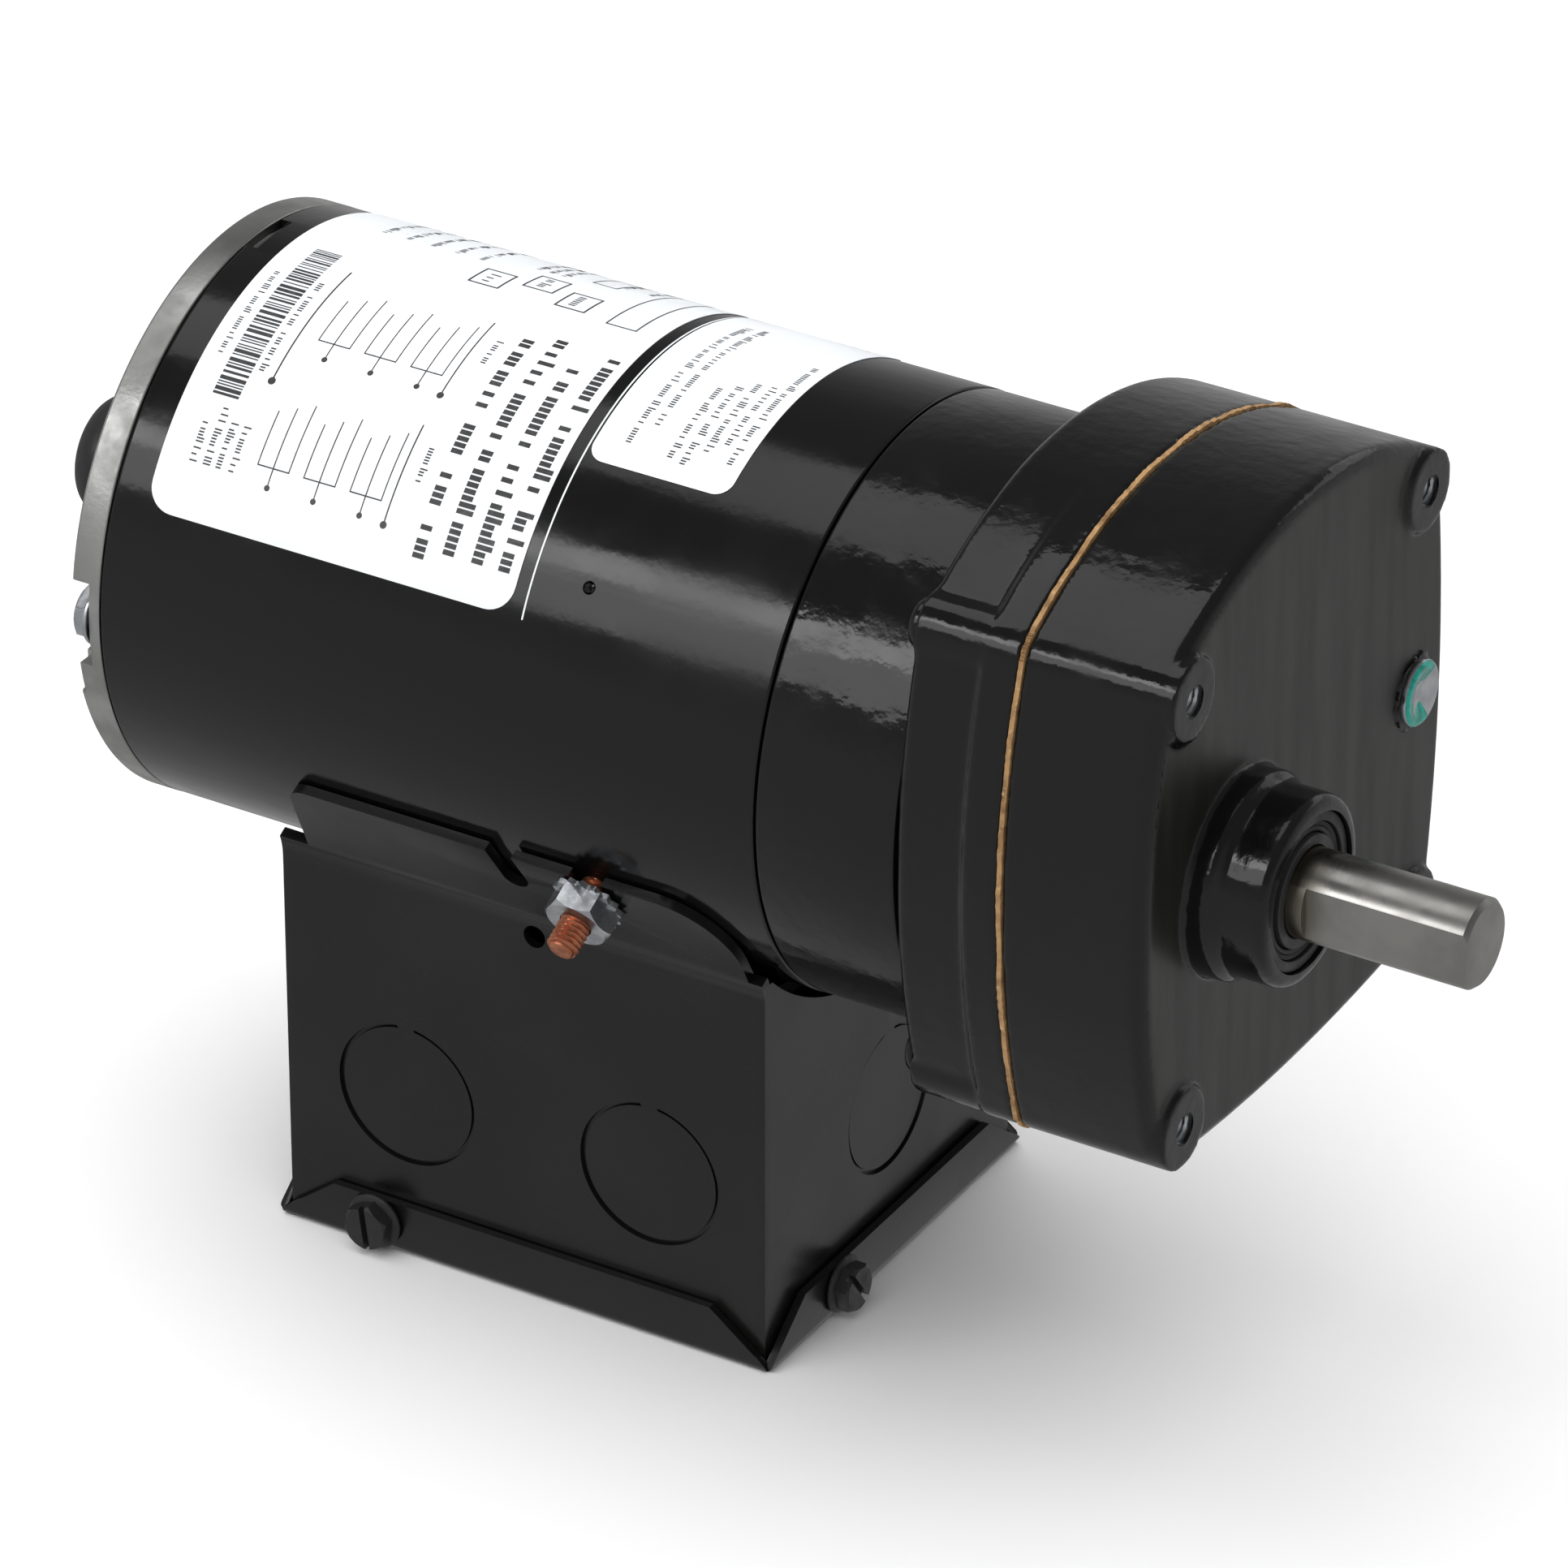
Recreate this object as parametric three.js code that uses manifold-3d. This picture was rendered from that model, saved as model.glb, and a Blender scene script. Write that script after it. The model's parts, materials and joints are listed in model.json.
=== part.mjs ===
// A parallel-shaft AC gearmotor: an 86 mm motor, a three-stage spur gearbox whose D-shaft is offset
// 19 mm to one side, and a sheet-metal conduit box under the motor. Millimetres, +Z up, +X towards
// the output shaft, origin at the centre of the conduit cover's underside.
import * as THREE from "three";
import { mergeVertices } from "three/addons/utils/BufferGeometryUtils.js";
import Module from "manifold-3d";

// ---- driving dimensions ----
const GAP = 0.3; // clearance kept between touching pieces
const AXIS_Z = 93; // motor axis above the cover's underside
const FACE_X = 104; // plane of the four gearbox mounting pads

const MOTOR_R = 43; // outside radius of the motor shell and both end shields
const SHELL_WALL = 1.2;
const SHELL_FRONT_X = FACE_X - 61.3;
const SHELL_REAR_X = FACE_X - 166.5;
const RIM_REAR_X = FACE_X - 171.5; // back face of the rear end shield's rim
const REAR_CAP = { x: FACE_X - 195.3, r: 10, wall: 2 };
const SHELL_SLOT = { halfWidth: 4.5, depth: 2 }; // in the shell's rear edge, at the top
const BOLT_CIRCLE_R = 39;
const THROUGH_BOLT_R = 2;
const BOLT_HEAD = { r: 4.2, height: 2.6 };
const BOLT_NOTCH = { halfWidth: 6.5, depth: 3.2, innerR: 32 }; // pocket in the rear rim for each bolt head

const STATOR_R = MOTOR_R - SHELL_WALL - 0.4;
const STATOR_FRONT_X = FACE_X - 84;
const STATOR_REAR_X = FACE_X - 144;
const STATOR_SLOTS = 12;
const BORE_R = 22.4;
const ROTOR_R = 22;
const ROTOR_SHAFT_R = 4;
const WINDING = { innerR: 26, outerR: 33, reach: 15 };
const HUB = { boreR: 7.3, r: 12, rise: 3.5 }; // bearing hubs of the two end shields
const SHIELD_LIP = 5; // how far the end shields reach into the shell and the stator's ends

const GEARBOX_REAR_X = FACE_X - 39.3;
const GASKET_X = FACE_X - 22.8;
const GASKET_THICK = 0.7;
const PAD_RAISE = 1; // how far the corner pads stand off the front face
const FLOOR_THICK = 5; // end plates of the gearbox
const GEARBOX_WALL = 3;
const PAD_PITCH = 66; // square pattern of the corner bosses
const PAD_R = 6;
const PAD_HOLE_R = 2.1; // #10-32 tapped hole
const PAD_HOLE_DEPTH = 12;
const BOSS_R = 5; // corner bosses inside the gearbox
// How far each side of the gearbox bulges from the motor axis: +Y, +Z, -Y, -Z.
const SIDE_PEAKS = [41.5, 48, 44, 41];

const OUTPUT_Y = -19.05; // output shaft axis, level with the motor axis
const OUTPUT_R = 6.35;
const OUTPUT_END_X = FACE_X + 36.5;
const OUTPUT_FLAT = 5.08; // shaft axis to its flat
const OUTPUT_FLAT_LENGTH = 24;
const OUTPUT_BOSS_X = FACE_X + 10.7;
const OUTPUT_BOSS_R = 13.5;
const BEARING_R = 11.1;
const BALLS = 7;
const BEARING = { rear: FACE_X + 0.5, front: FACE_X + 7.5, innerRace: 7.9, outerRace: 9.8 };
const PLUG = { y: 32, z: 2, r: 4.9, neck: 3.5 };
const SCREW_HEAD = { r: 3.7, height: 2.6 }; // housing screws, seen on the gearbox's rear face
const OIL_SEAL = { r: 8, depth: 3.5 };

// Gear stages, driver first. Each mesh lies in its own plane, counted from the motor.
const PRESSURE = THREE.MathUtils.degToRad(25);
const ADDENDUM = 0.95;
const DEDENDUM = 1.15;
const BACKLASH = 0.1;
const STAGES = [
  { module: 0.7, pinion: 12, gear: 52, rear: FACE_X - 33.5, front: FACE_X - 27.5 },
  { module: 0.85, pinion: 12, gear: 42, rear: FACE_X - 26.5, front: FACE_X - 18.5 },
  { module: 1.0, pinion: 12, gear: 40, rear: FACE_X - 17, front: FACE_X - 7 },
];
const STAGE2_BEARING = THREE.MathUtils.degToRad(65); // direction from output shaft to second shaft
const JOURNAL_R = 3;
const BUSH_R = 5;
const BUSH_LENGTH = 3.5;

const SHEET = 1.5; // conduit box steel
const BOX = { rear: -39.2, front: 39.2, halfWidth: 34, bottom: 1.6, top: AXIS_Z - 31 };
const COVER = { halfLength: 40.85, halfWidth: 35.5, thick: 1.2, height: 8.2, corner: 9 };
const SADDLE_R = 44.5; // arc of the box's end walls around the motor
const EAR_ANGLE = THREE.MathUtils.degToRad(28); // where the side flanges touch the shell, below level
// The flange as seen square on: x along the motor, heights measured up it from where it touches.
const EAR = { rear: -33.5, front: 37, top: 4, foot: -10.5, rearRound: 3, frontRound: 11 };
const HOOK = { x: 0.9, halfWidth: 2.1, bottom: -1.2, reach: 1.4 }; // hooked notch in the flange's edge
const WALL_HOLE = { x: 2.2, z: AXIS_Z - 34.2, r: 1.75 };
const KNOCKOUT_R = 11.1;
const KNOCKOUT_Z = AXIS_Z - 67;
const KNOCKOUTS_X = [-19.4, 20.5];
const GROUND_X = 15;
const GROUND_R = 2.1;
const GROUND_END = 51; // tip of the stud, from the motor axis
const GROUND_NUT = { washer: 5.2, washerThick: 1, r: 5, height: 4 };
const COVER_SCREW = { along: 24, across: 16, z: 4.6, shank: 1.7, head: 3.7, washer: 4.4 };
const LEAD_X = 29.5; // lead hole through the shell, between the end turns and the front shield
const LEAD_ANGLE = THREE.MathUtils.degToRad(20); // its direction, from straight down towards +Y
const LEAD_HOLE_R = 6;
const LEAD_R = 0.9;
const LEAD_PITCH = 2.6;
const CAPACITOR = { rear: -30, front: 26, near: 6, far: 18, z: 14, r: 9 };

// Sides of a turned circle, by how large it is.
const LARGE = 40;
const MIDDLE = 20;
const SMALL = 12;
const TINY = 6;

const wasm = await Module();
wasm.setup();

// ---- shape helpers ----
const X_AXIS = new THREE.Matrix4(); // turns a drawing plane (x, y) with depth z into (Y, Z) with depth X
X_AXIS.makeBasis(new THREE.Vector3(0, 1, 0), new THREE.Vector3(0, 0, 1), new THREE.Vector3(1, 0, 0));

/** A closed geometry as a solid with its faces pointing out. */
function solid(geometry) {
  const bare = geometry.clone().deleteAttribute("normal").deleteAttribute("uv");
  const merged = mergeVertices(bare, 1e-3);
  const { array } = merged.index;
  const triVerts = [];
  for (let i = 0; i < array.length; i += 3) {
    const [a, b, c] = array.slice(i, i + 3);
    if (a !== b && b !== c && a !== c) triVerts.push(a, b, c);
  }
  const build = (tris) => new wasm.Manifold(new wasm.Mesh({
    numProp: 3,
    vertProperties: merged.attributes.position.array,
    triVerts: new Uint32Array(tris),
  }));
  const made = build(triVerts);
  return made.volume() < 0 ? build(triVerts.reverse()) : made;
}

/** A profile of [x, radius] points turned about the X axis at (y, z). */
function turned(profile, segments = MIDDLE, y = 0, z = 0) {
  const points = profile.map(([x, r]) => new THREE.Vector2(r, x));
  const geometry = new THREE.LatheGeometry(points, segments);
  return solid(geometry.rotateZ(-Math.PI / 2).translate(0, y, z));
}

const rod = (x0, x1, r, segments = MIDDLE, y = 0, z = 0) =>
  turned([[x0, 0], [x0, r], [x1, r], [x1, 0]], segments, y, z);

const ring = (x0, x1, inner, outer, segments = MIDDLE, y = 0, z = 0) =>
  turned([[x0, inner], [x0, outer], [x1, outer], [x1, inner], [x0, inner]], segments, y, z);

const block = (x0, x1, y0, y1, z0, z1) =>
  solid(new THREE.BoxGeometry(x1 - x0, y1 - y0, z1 - z0)
    .translate((x0 + x1) / 2, (y0 + y1) / 2, (z0 + z1) / 2));

/** A rod along a unit direction, from one distance to another measured from a point. */
function rodAlong(origin, direction, from, to, r, segments = SMALL) {
  const turn = new THREE.Quaternion().setFromUnitVectors(new THREE.Vector3(0, 1, 0), direction);
  const geometry = new THREE.CylinderGeometry(r, r, to - from, segments)
    .translate(0, (from + to) / 2, 0)
    .applyQuaternion(turn)
    .translate(origin.x, origin.y, origin.z);
  return solid(geometry);
}

/** A shape drawn in (y, z), extruded from x0 to x1. */
function slab(shape, x0, x1, curveSegments = 4) {
  const options = { depth: x1 - x0, bevelEnabled: false, curveSegments };
  return solid(new THREE.ExtrudeGeometry(shape, options).applyMatrix4(X_AXIS).translate(x0, 0, 0));
}

/** The same outline without the doubled points where two arcs meet. */
function tidyShape(shape, divisions) {
  const points = shape.getPoints(divisions);
  return new THREE.Shape(points.filter((p, i) => p.distanceTo(points.at(i - 1)) > 1e-3));
}

const union = (solids) => solids.reduce((a, b) => a.add(b));
const cut = (body, tools) => tools.reduce((a, b) => a.subtract(b), body);

// ---- scene graph ----
const gearmotor = new THREE.Group();
gearmotor.name = "gearmotor";
const onMotorAxis = new THREE.Group(); // pieces drawn about the motor axis
onMotorAxis.position.z = AXIS_Z;
gearmotor.add(onMotorAxis);

const finish = (color, roughness, metalness) => ({ color, roughness, metalness });
const BLACK_PAINT = finish(0x0b0c0d, 0.25, 0);
const BOX_PAINT = finish(0x17181a, 0.45, 0);
const ALUMINIUM = finish(0xb4b7bb, 0.45, 1);
const STEEL = finish(0x8f9296, 0.35, 1);
const DARK_STEEL = finish(0x4a4c50, 0.5, 1);
const ZINC = finish(0xb9bcc0, 0.35, 1);
const BRONZE = finish(0x9a7440, 0.5, 1);
const COPPER = finish(0xa85a32, 0.4, 1);
const RUBBER = finish(0x141414, 0.8, 0);
const FIBRE = finish(0x9c7b52, 0.9, 0);

function add(group, name, look, body) {
  const { vertProperties, triVerts } = body.getMesh();
  const geometry = new THREE.BufferGeometry()
    .setAttribute("position", new THREE.BufferAttribute(vertProperties, 3))
    .setIndex(new THREE.BufferAttribute(triVerts, 1));
  geometry.computeVertexNormals();
  const mesh = new THREE.Mesh(geometry, new THREE.MeshStandardMaterial(look));
  mesh.name = name;
  group.add(mesh);
}

// ---- gearbox castings ----
/** The gearbox outline: four bulging sides that run tangent into the corner arcs. */
function gearboxOutline(inset) {
  const half = PAD_PITCH / 2;
  const sides = SIDE_PEAKS.map((peak) => {
    const rise = peak - half;
    const radius = (half ** 2 + rise ** 2 - PAD_R ** 2) / (2 * (rise - PAD_R));
    return { centre: peak - radius, radius, spread: Math.atan2(half, radius - rise) };
  });
  const shape = new THREE.Shape();
  sides.forEach(({ centre, radius, spread }, i) => {
    const facing = (i * Math.PI) / 2;
    const next = sides[(i + 1) % 4];
    const [c, s] = [Math.round(Math.cos(facing)), Math.round(Math.sin(facing))];
    shape.absarc(c * centre, s * centre, radius - inset, facing - spread, facing + spread, false);
    shape.absarc(half * (c - s), half * (c + s), PAD_R - inset,
      facing + spread, facing + Math.PI / 2 - next.spread, false);
  });
  return tidyShape(shape, 3);
}

const CORNERS = [[1, 1], [-1, 1], [-1, -1], [1, -1]].map((c) => c.map((v) => (v * PAD_PITCH) / 2));
const eachCorner = (make) => CORNERS.map(([y, z]) => make(y, z));
const FRONT_FACE_X = FACE_X - PAD_RAISE;
const FRONT_FLOOR_X = FRONT_FACE_X - FLOOR_THICK;
const REAR_FLOOR_X = GEARBOX_REAR_X + FLOOR_THICK;

// Shaft centres across the gearbox, found from the centre distances of the three meshes.
const reach = ({ module, pinion, gear }) => (module * (pinion + gear)) / 2;
const rotorAt = new THREE.Vector2(0, 0);
const outputAt = new THREE.Vector2(OUTPUT_Y, 0);
const secondAt = new THREE.Vector2(reach(STAGES[2]), 0)
  .rotateAround(new THREE.Vector2(), STAGE2_BEARING).add(outputAt);
const firstAt = meetingPoint(rotorAt, reach(STAGES[0]), secondAt, reach(STAGES[1]));

/** Where two circles cross, on the right-hand side going from the first to the second. */
function meetingPoint(a, ra, b, rb) {
  const d = a.distanceTo(b);
  const along = (ra ** 2 - rb ** 2 + d ** 2) / (2 * d);
  const across = Math.sqrt(ra ** 2 - along ** 2);
  const u = b.clone().sub(a).normalize();
  return new THREE.Vector2(a.x + u.x * along + u.y * across, a.y + u.y * along - u.x * across);
}

const blindBushBore = (at, r, mouth, inward) =>
  rod(...[mouth + 0.5 * inward, mouth - (BUSH_LENGTH + GAP) * inward].sort((p, q) => p - q),
    r + GAP, SMALL, at.x, at.y);

function gearHousingRear() {
  const outer = slab(gearboxOutline(0), GEARBOX_REAR_X, GASKET_X - GASKET_THICK / 2 - GAP);
  const cavity = cut(slab(gearboxOutline(GEARBOX_WALL), REAR_FLOOR_X, GASKET_X + 5),
    eachCorner((y, z) => rod(GEARBOX_REAR_X, GASKET_X + 6, BOSS_R, SMALL, y, z)));
  return cut(outer, [
    cavity,
    ...eachCorner((y, z) => rod(GEARBOX_REAR_X - 1, GASKET_X + 1, PAD_HOLE_R + GAP, TINY, y, z)),
    rod(GEARBOX_REAR_X - 1, GEARBOX_REAR_X + OIL_SEAL.depth, OIL_SEAL.r),
    rod(GEARBOX_REAR_X - 1, REAR_FLOOR_X + 1, 5.6, SMALL),
    blindBushBore(firstAt, BUSH_R, REAR_FLOOR_X, 1),
    blindBushBore(secondAt, BUSH_R, REAR_FLOOR_X, 1),
    blindBushBore(outputAt, BUSH_R + 3, REAR_FLOOR_X, 1),
  ]);
}

function gearHousingFront() {
  const outer = union([
    slab(gearboxOutline(0), GASKET_X + GASKET_THICK / 2 + GAP, FRONT_FACE_X),
    ...eachCorner((y, z) => rod(FRONT_FACE_X - 1, FACE_X, PAD_R, MIDDLE, y, z)),
    turned([
      [FRONT_FLOOR_X + 1, 0], [FRONT_FLOOR_X + 1, OUTPUT_BOSS_R + 1.25], [FACE_X + 2, OUTPUT_BOSS_R + 1.25],
      [FACE_X + 3, OUTPUT_BOSS_R], [OUTPUT_BOSS_X - 1, OUTPUT_BOSS_R],
      [OUTPUT_BOSS_X, OUTPUT_BOSS_R - 1], [OUTPUT_BOSS_X, 0],
    ], 28, OUTPUT_Y),
  ]);
  const cavity = cut(slab(gearboxOutline(GEARBOX_WALL), GASKET_X - 5, FRONT_FLOOR_X),
    eachCorner((y, z) => rod(GASKET_X - 6, FRONT_FACE_X, BOSS_R, SMALL, y, z)));
  return cut(outer, [
    cavity,
    ...eachCorner((y, z) => rod(GASKET_X - 1, FACE_X + 1, PAD_HOLE_R, SMALL, y, z)),
    rod(FACE_X + 0.2, OUTPUT_BOSS_X + 1, BEARING_R + GAP, 28, OUTPUT_Y), // bearing seat
    rod(FRONT_FLOOR_X - 1, FACE_X + 1, 9, MIDDLE, OUTPUT_Y),
    rod(FRONT_FLOOR_X - 1, FACE_X, PLUG.neck + GAP, SMALL, PLUG.y, PLUG.z),
    blindBushBore(firstAt, BUSH_R, FRONT_FLOOR_X, -1),
    blindBushBore(secondAt, BUSH_R, FRONT_FLOOR_X, -1),
  ]);
}

function housingGasket() {
  const x0 = GASKET_X - GASKET_THICK / 2;
  const x1 = GASKET_X + GASKET_THICK / 2;
  const inner = cut(slab(gearboxOutline(GEARBOX_WALL), x0 - 1, x1 + 1),
    eachCorner((y, z) => rod(x0 - 2, x1 + 2, BOSS_R, SMALL, y, z)));
  return cut(slab(gearboxOutline(-0.3), x0, x1), [
    inner,
    ...eachCorner((y, z) => rod(x0 - 1, x1 + 1, PAD_HOLE_R + GAP, TINY, y, z)),
  ]);
}

add(onMotorAxis, "gear_housing_rear", BLACK_PAINT, gearHousingRear());
add(onMotorAxis, "gear_housing_front", BLACK_PAINT, gearHousingFront());
add(onMotorAxis, "housing_gasket", FIBRE, housingGasket());

CORNERS.forEach(([y, z], i) => {
  const shank = PAD_HOLE_R - GAP;
  const underHead = GEARBOX_REAR_X - GAP;
  add(onMotorAxis, `housing_screw_${i + 1}`, DARK_STEEL, turned([
    [underHead - SCREW_HEAD.height, 0], [underHead - SCREW_HEAD.height, SCREW_HEAD.r - 1.4],
    [underHead - 1, SCREW_HEAD.r], [underHead, SCREW_HEAD.r], [underHead, shank],
    [FACE_X - PAD_HOLE_DEPTH, shank], [FACE_X - PAD_HOLE_DEPTH, 0],
  ], TINY, y, z));
});

add(onMotorAxis, "oil_plug", ALUMINIUM, turned([
  [FRONT_FLOOR_X + 0.5, 0], [FRONT_FLOOR_X + 0.5, PLUG.neck], [FRONT_FACE_X + GAP, PLUG.neck],
  [FRONT_FACE_X + GAP, PLUG.r], [FRONT_FACE_X + 0.8, PLUG.r], [FRONT_FACE_X + 1.7, PLUG.r - 1.6],
  [FRONT_FACE_X + 2, 0],
], SMALL, PLUG.y, PLUG.z));

// ---- gears ----
const involute = (angle) => Math.tan(angle) - angle;

/** A spur gear outline with one tooth centred on the angle phase, and an optional round bore. */
function gearShape(module, teeth, phase, bore = 0) {
  const pitch = (module * teeth) / 2;
  const base = pitch * Math.cos(PRESSURE);
  const tip = pitch + ADDENDUM * module;
  const root = pitch - DEDENDUM * module;
  const halfAt = (r) => Math.PI / (2 * teeth) - BACKLASH / (4 * pitch)
    + involute(PRESSURE) - involute(Math.acos(Math.min(1, base / r)));
  const radii = root < base ? [root, base, tip] : [root, tip];
  const outline = [];
  for (let t = 0; t < teeth; t++) {
    const centre = phase + (2 * Math.PI * t) / teeth;
    const flank = (side) => radii.map((r) => {
      const angle = centre + side * halfAt(r);
      return new THREE.Vector2(r * Math.cos(angle), r * Math.sin(angle));
    });
    outline.push(...flank(-1), ...flank(1).reverse());
  }
  const shape = new THREE.Shape(outline);
  if (bore) shape.holes.push(new THREE.Path().absarc(0, 0, bore, 0, 2 * Math.PI, true));
  return shape;
}

/** The phase at which a gear's gap faces the driver's tooth on the line between their centres. */
function meshedPhase({ pinion, gear }, pinionAt, gearAt, pinionPhase) {
  const facing = Math.atan2(gearAt.y - pinionAt.y, gearAt.x - pinionAt.x);
  return facing + Math.PI + (pinion / gear) * (facing - pinionPhase) - Math.PI / gear;
}

const toothedDisc = (stage, teeth, at, phase, bore, margin = 0) =>
  slab(gearShape(stage.module, teeth, phase, bore), stage.rear - margin, stage.front + margin, 8)
    .translate([0, at.x, at.y]);

const GEAR_SEATS = [4, 4.5, OUTPUT_R]; // shaft radius under each driven gear
const drivers = [rotorAt, firstAt, secondAt];
const driven = [firstAt, secondAt, outputAt];
STAGES.forEach((stage, i) => {
  const phase = meshedPhase(stage, drivers[i], driven[i], 0);
  const name = ["stage1_gear", "stage2_gear", "output_gear"][i];
  add(onMotorAxis, name, DARK_STEEL,
    toothedDisc(stage, stage.gear, driven[i], phase, GEAR_SEATS[i] + GAP));
});

/** An intermediate shaft: two journals, a seat for its driven gear and its own pinion teeth. */
function pinionShaft(at, seat, gearStage, pinionStage) {
  const rear = REAR_FLOOR_X - BUSH_LENGTH + GAP;
  const front = FRONT_FLOOR_X + BUSH_LENGTH - GAP;
  const core = turned([
    [rear, 0], [rear, JOURNAL_R], [gearStage.rear - 0.5, JOURNAL_R], [gearStage.rear - 0.5, seat],
    [gearStage.front + 0.5, seat], [gearStage.front + 0.5, JOURNAL_R], [front, JOURNAL_R], [front, 0],
  ], SMALL, at.x, at.y);
  return core.add(toothedDisc(pinionStage, pinionStage.pinion, at, 0, 0, 0.3));
}

add(onMotorAxis, "stage1_pinion_shaft", STEEL, pinionShaft(firstAt, GEAR_SEATS[0], STAGES[0], STAGES[1]));
add(onMotorAxis, "stage2_pinion_shaft", STEEL, pinionShaft(secondAt, GEAR_SEATS[1], STAGES[1], STAGES[2]));

function bushing(at, floorX, inward, journal, outer) {
  const mouth = floorX - GAP * inward;
  const back = floorX - BUSH_LENGTH * inward;
  return ring(Math.min(mouth, back), Math.max(mouth, back), journal + GAP, outer, SMALL, at.x, at.y);
}

for (const [name, at] of [["stage1", firstAt], ["stage2", secondAt]]) {
  add(onMotorAxis, `${name}_bushing_rear`, BRONZE, bushing(at, REAR_FLOOR_X, 1, JOURNAL_R, BUSH_R));
  add(onMotorAxis, `${name}_bushing_front`, BRONZE, bushing(at, FRONT_FLOOR_X, -1, JOURNAL_R, BUSH_R));
}
add(onMotorAxis, "output_bushing_rear", BRONZE, bushing(outputAt, REAR_FLOOR_X, 1, 5, BUSH_R + 3));

// ---- output shaft and its sealed bearing ----
function outputShaft() {
  const chamfer = 0.6;
  const body = turned([
    [REAR_FLOOR_X - BUSH_LENGTH + GAP, 0], [REAR_FLOOR_X - BUSH_LENGTH + GAP, 5],
    [REAR_FLOOR_X + GAP, 5], [REAR_FLOOR_X + GAP, OUTPUT_R],
    [OUTPUT_END_X - chamfer, OUTPUT_R], [OUTPUT_END_X, OUTPUT_R - chamfer], [OUTPUT_END_X, 0],
  ], 28, OUTPUT_Y);
  return cut(body, [block(OUTPUT_END_X - OUTPUT_FLAT_LENGTH, OUTPUT_END_X + 1,
    OUTPUT_Y - 10, OUTPUT_Y - OUTPUT_FLAT, -10, 10)]);
}

function ballCage() {
  const middle = (BEARING.rear + BEARING.front) / 2;
  const track = (BEARING.innerRace + BEARING.outerRace) / 2;
  const ballR = (BEARING.outerRace - BEARING.innerRace) / 2 - 0.15;
  const parts = [ring(middle - 0.4, middle + 0.4, track - 0.4, track + 0.4, SMALL, OUTPUT_Y)];
  for (let i = 0; i < BALLS; i++) {
    const angle = (2 * Math.PI * i) / BALLS;
    const ball = new THREE.OctahedronGeometry(ballR, 1)
      .translate(middle, OUTPUT_Y + track * Math.cos(angle), track * Math.sin(angle));
    parts.push(solid(ball));
  }
  return union(parts);
}

add(onMotorAxis, "output_shaft", STEEL, outputShaft());
add(onMotorAxis, "output_bearing_inner", STEEL,
  ring(BEARING.rear, BEARING.front, OUTPUT_R + GAP, BEARING.innerRace, MIDDLE, OUTPUT_Y));
add(onMotorAxis, "output_bearing_balls", STEEL, ballCage());
add(onMotorAxis, "output_bearing_outer", STEEL,
  ring(BEARING.rear, BEARING.front, BEARING.outerRace, BEARING_R, MIDDLE, OUTPUT_Y));
add(onMotorAxis, "output_seal", RUBBER,
  ring(BEARING.front + GAP, OUTPUT_BOSS_X - 0.6, OUTPUT_R + GAP, BEARING_R, MIDDLE, OUTPUT_Y));

// ---- motor ----
const boltAngles = [0, Math.PI]; // two through bolts, level with the motor axis
const boltAt = (angle) => [BOLT_CIRCLE_R * Math.cos(angle), BOLT_CIRCLE_R * Math.sin(angle)];
const groundDirection = new THREE.Vector3(0, -Math.cos(EAR_ANGLE), -Math.sin(EAR_ANGLE));
const groundOrigin = new THREE.Vector3(GROUND_X, 0, 0);
const alongGround = (from, to, r, segments) =>
  rodAlong(groundOrigin, groundDirection, from, to, r, segments);
const leadDirection = new THREE.Vector3(0, Math.sin(LEAD_ANGLE), -Math.cos(LEAD_ANGLE));
const leadOrigin = new THREE.Vector3(LEAD_X, 0, 0);

function motorShell() {
  const inner = MOTOR_R - SHELL_WALL;
  return cut(ring(SHELL_REAR_X, SHELL_FRONT_X, inner, MOTOR_R, LARGE), [
    block(SHELL_REAR_X - 1, SHELL_REAR_X + SHELL_SLOT.depth, -SHELL_SLOT.halfWidth, SHELL_SLOT.halfWidth,
      inner - 2, MOTOR_R + 1),
    alongGround(inner - 3, MOTOR_R + 3, GROUND_R + GAP, SMALL),
    rodAlong(leadOrigin, leadDirection, inner - 3, MOTOR_R + 3, LEAD_HOLE_R),
  ]);
}

function rearEndShield() {
  const seat = SHELL_REAR_X - GAP;
  const body = turned([
    [seat, MOTOR_R], [RIM_REAR_X, MOTOR_R], [RIM_REAR_X, 40], [RIM_REAR_X - HUB.rise, 18],
    [RIM_REAR_X - HUB.rise, HUB.boreR], [seat + 8, HUB.boreR], [seat + 8, HUB.r], [seat - 3.5, 14],
    [seat - 1.5, 37.5], [seat + SHIELD_LIP, 38], [seat + SHIELD_LIP, STATOR_R], [seat, STATOR_R],
    [seat, MOTOR_R],
  ], LARGE);
  const notch = block(RIM_REAR_X - 5, RIM_REAR_X + BOLT_NOTCH.depth, BOLT_NOTCH.innerR, MOTOR_R + 2,
    -BOLT_NOTCH.halfWidth, BOLT_NOTCH.halfWidth);
  return cut(body, boltAngles.flatMap((angle) => [
    notch.rotate([THREE.MathUtils.radToDeg(angle), 0, 0]),
    rod(RIM_REAR_X - 1, seat + 6, THROUGH_BOLT_R + GAP, TINY, ...boltAt(angle)),
  ]));
}

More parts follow.
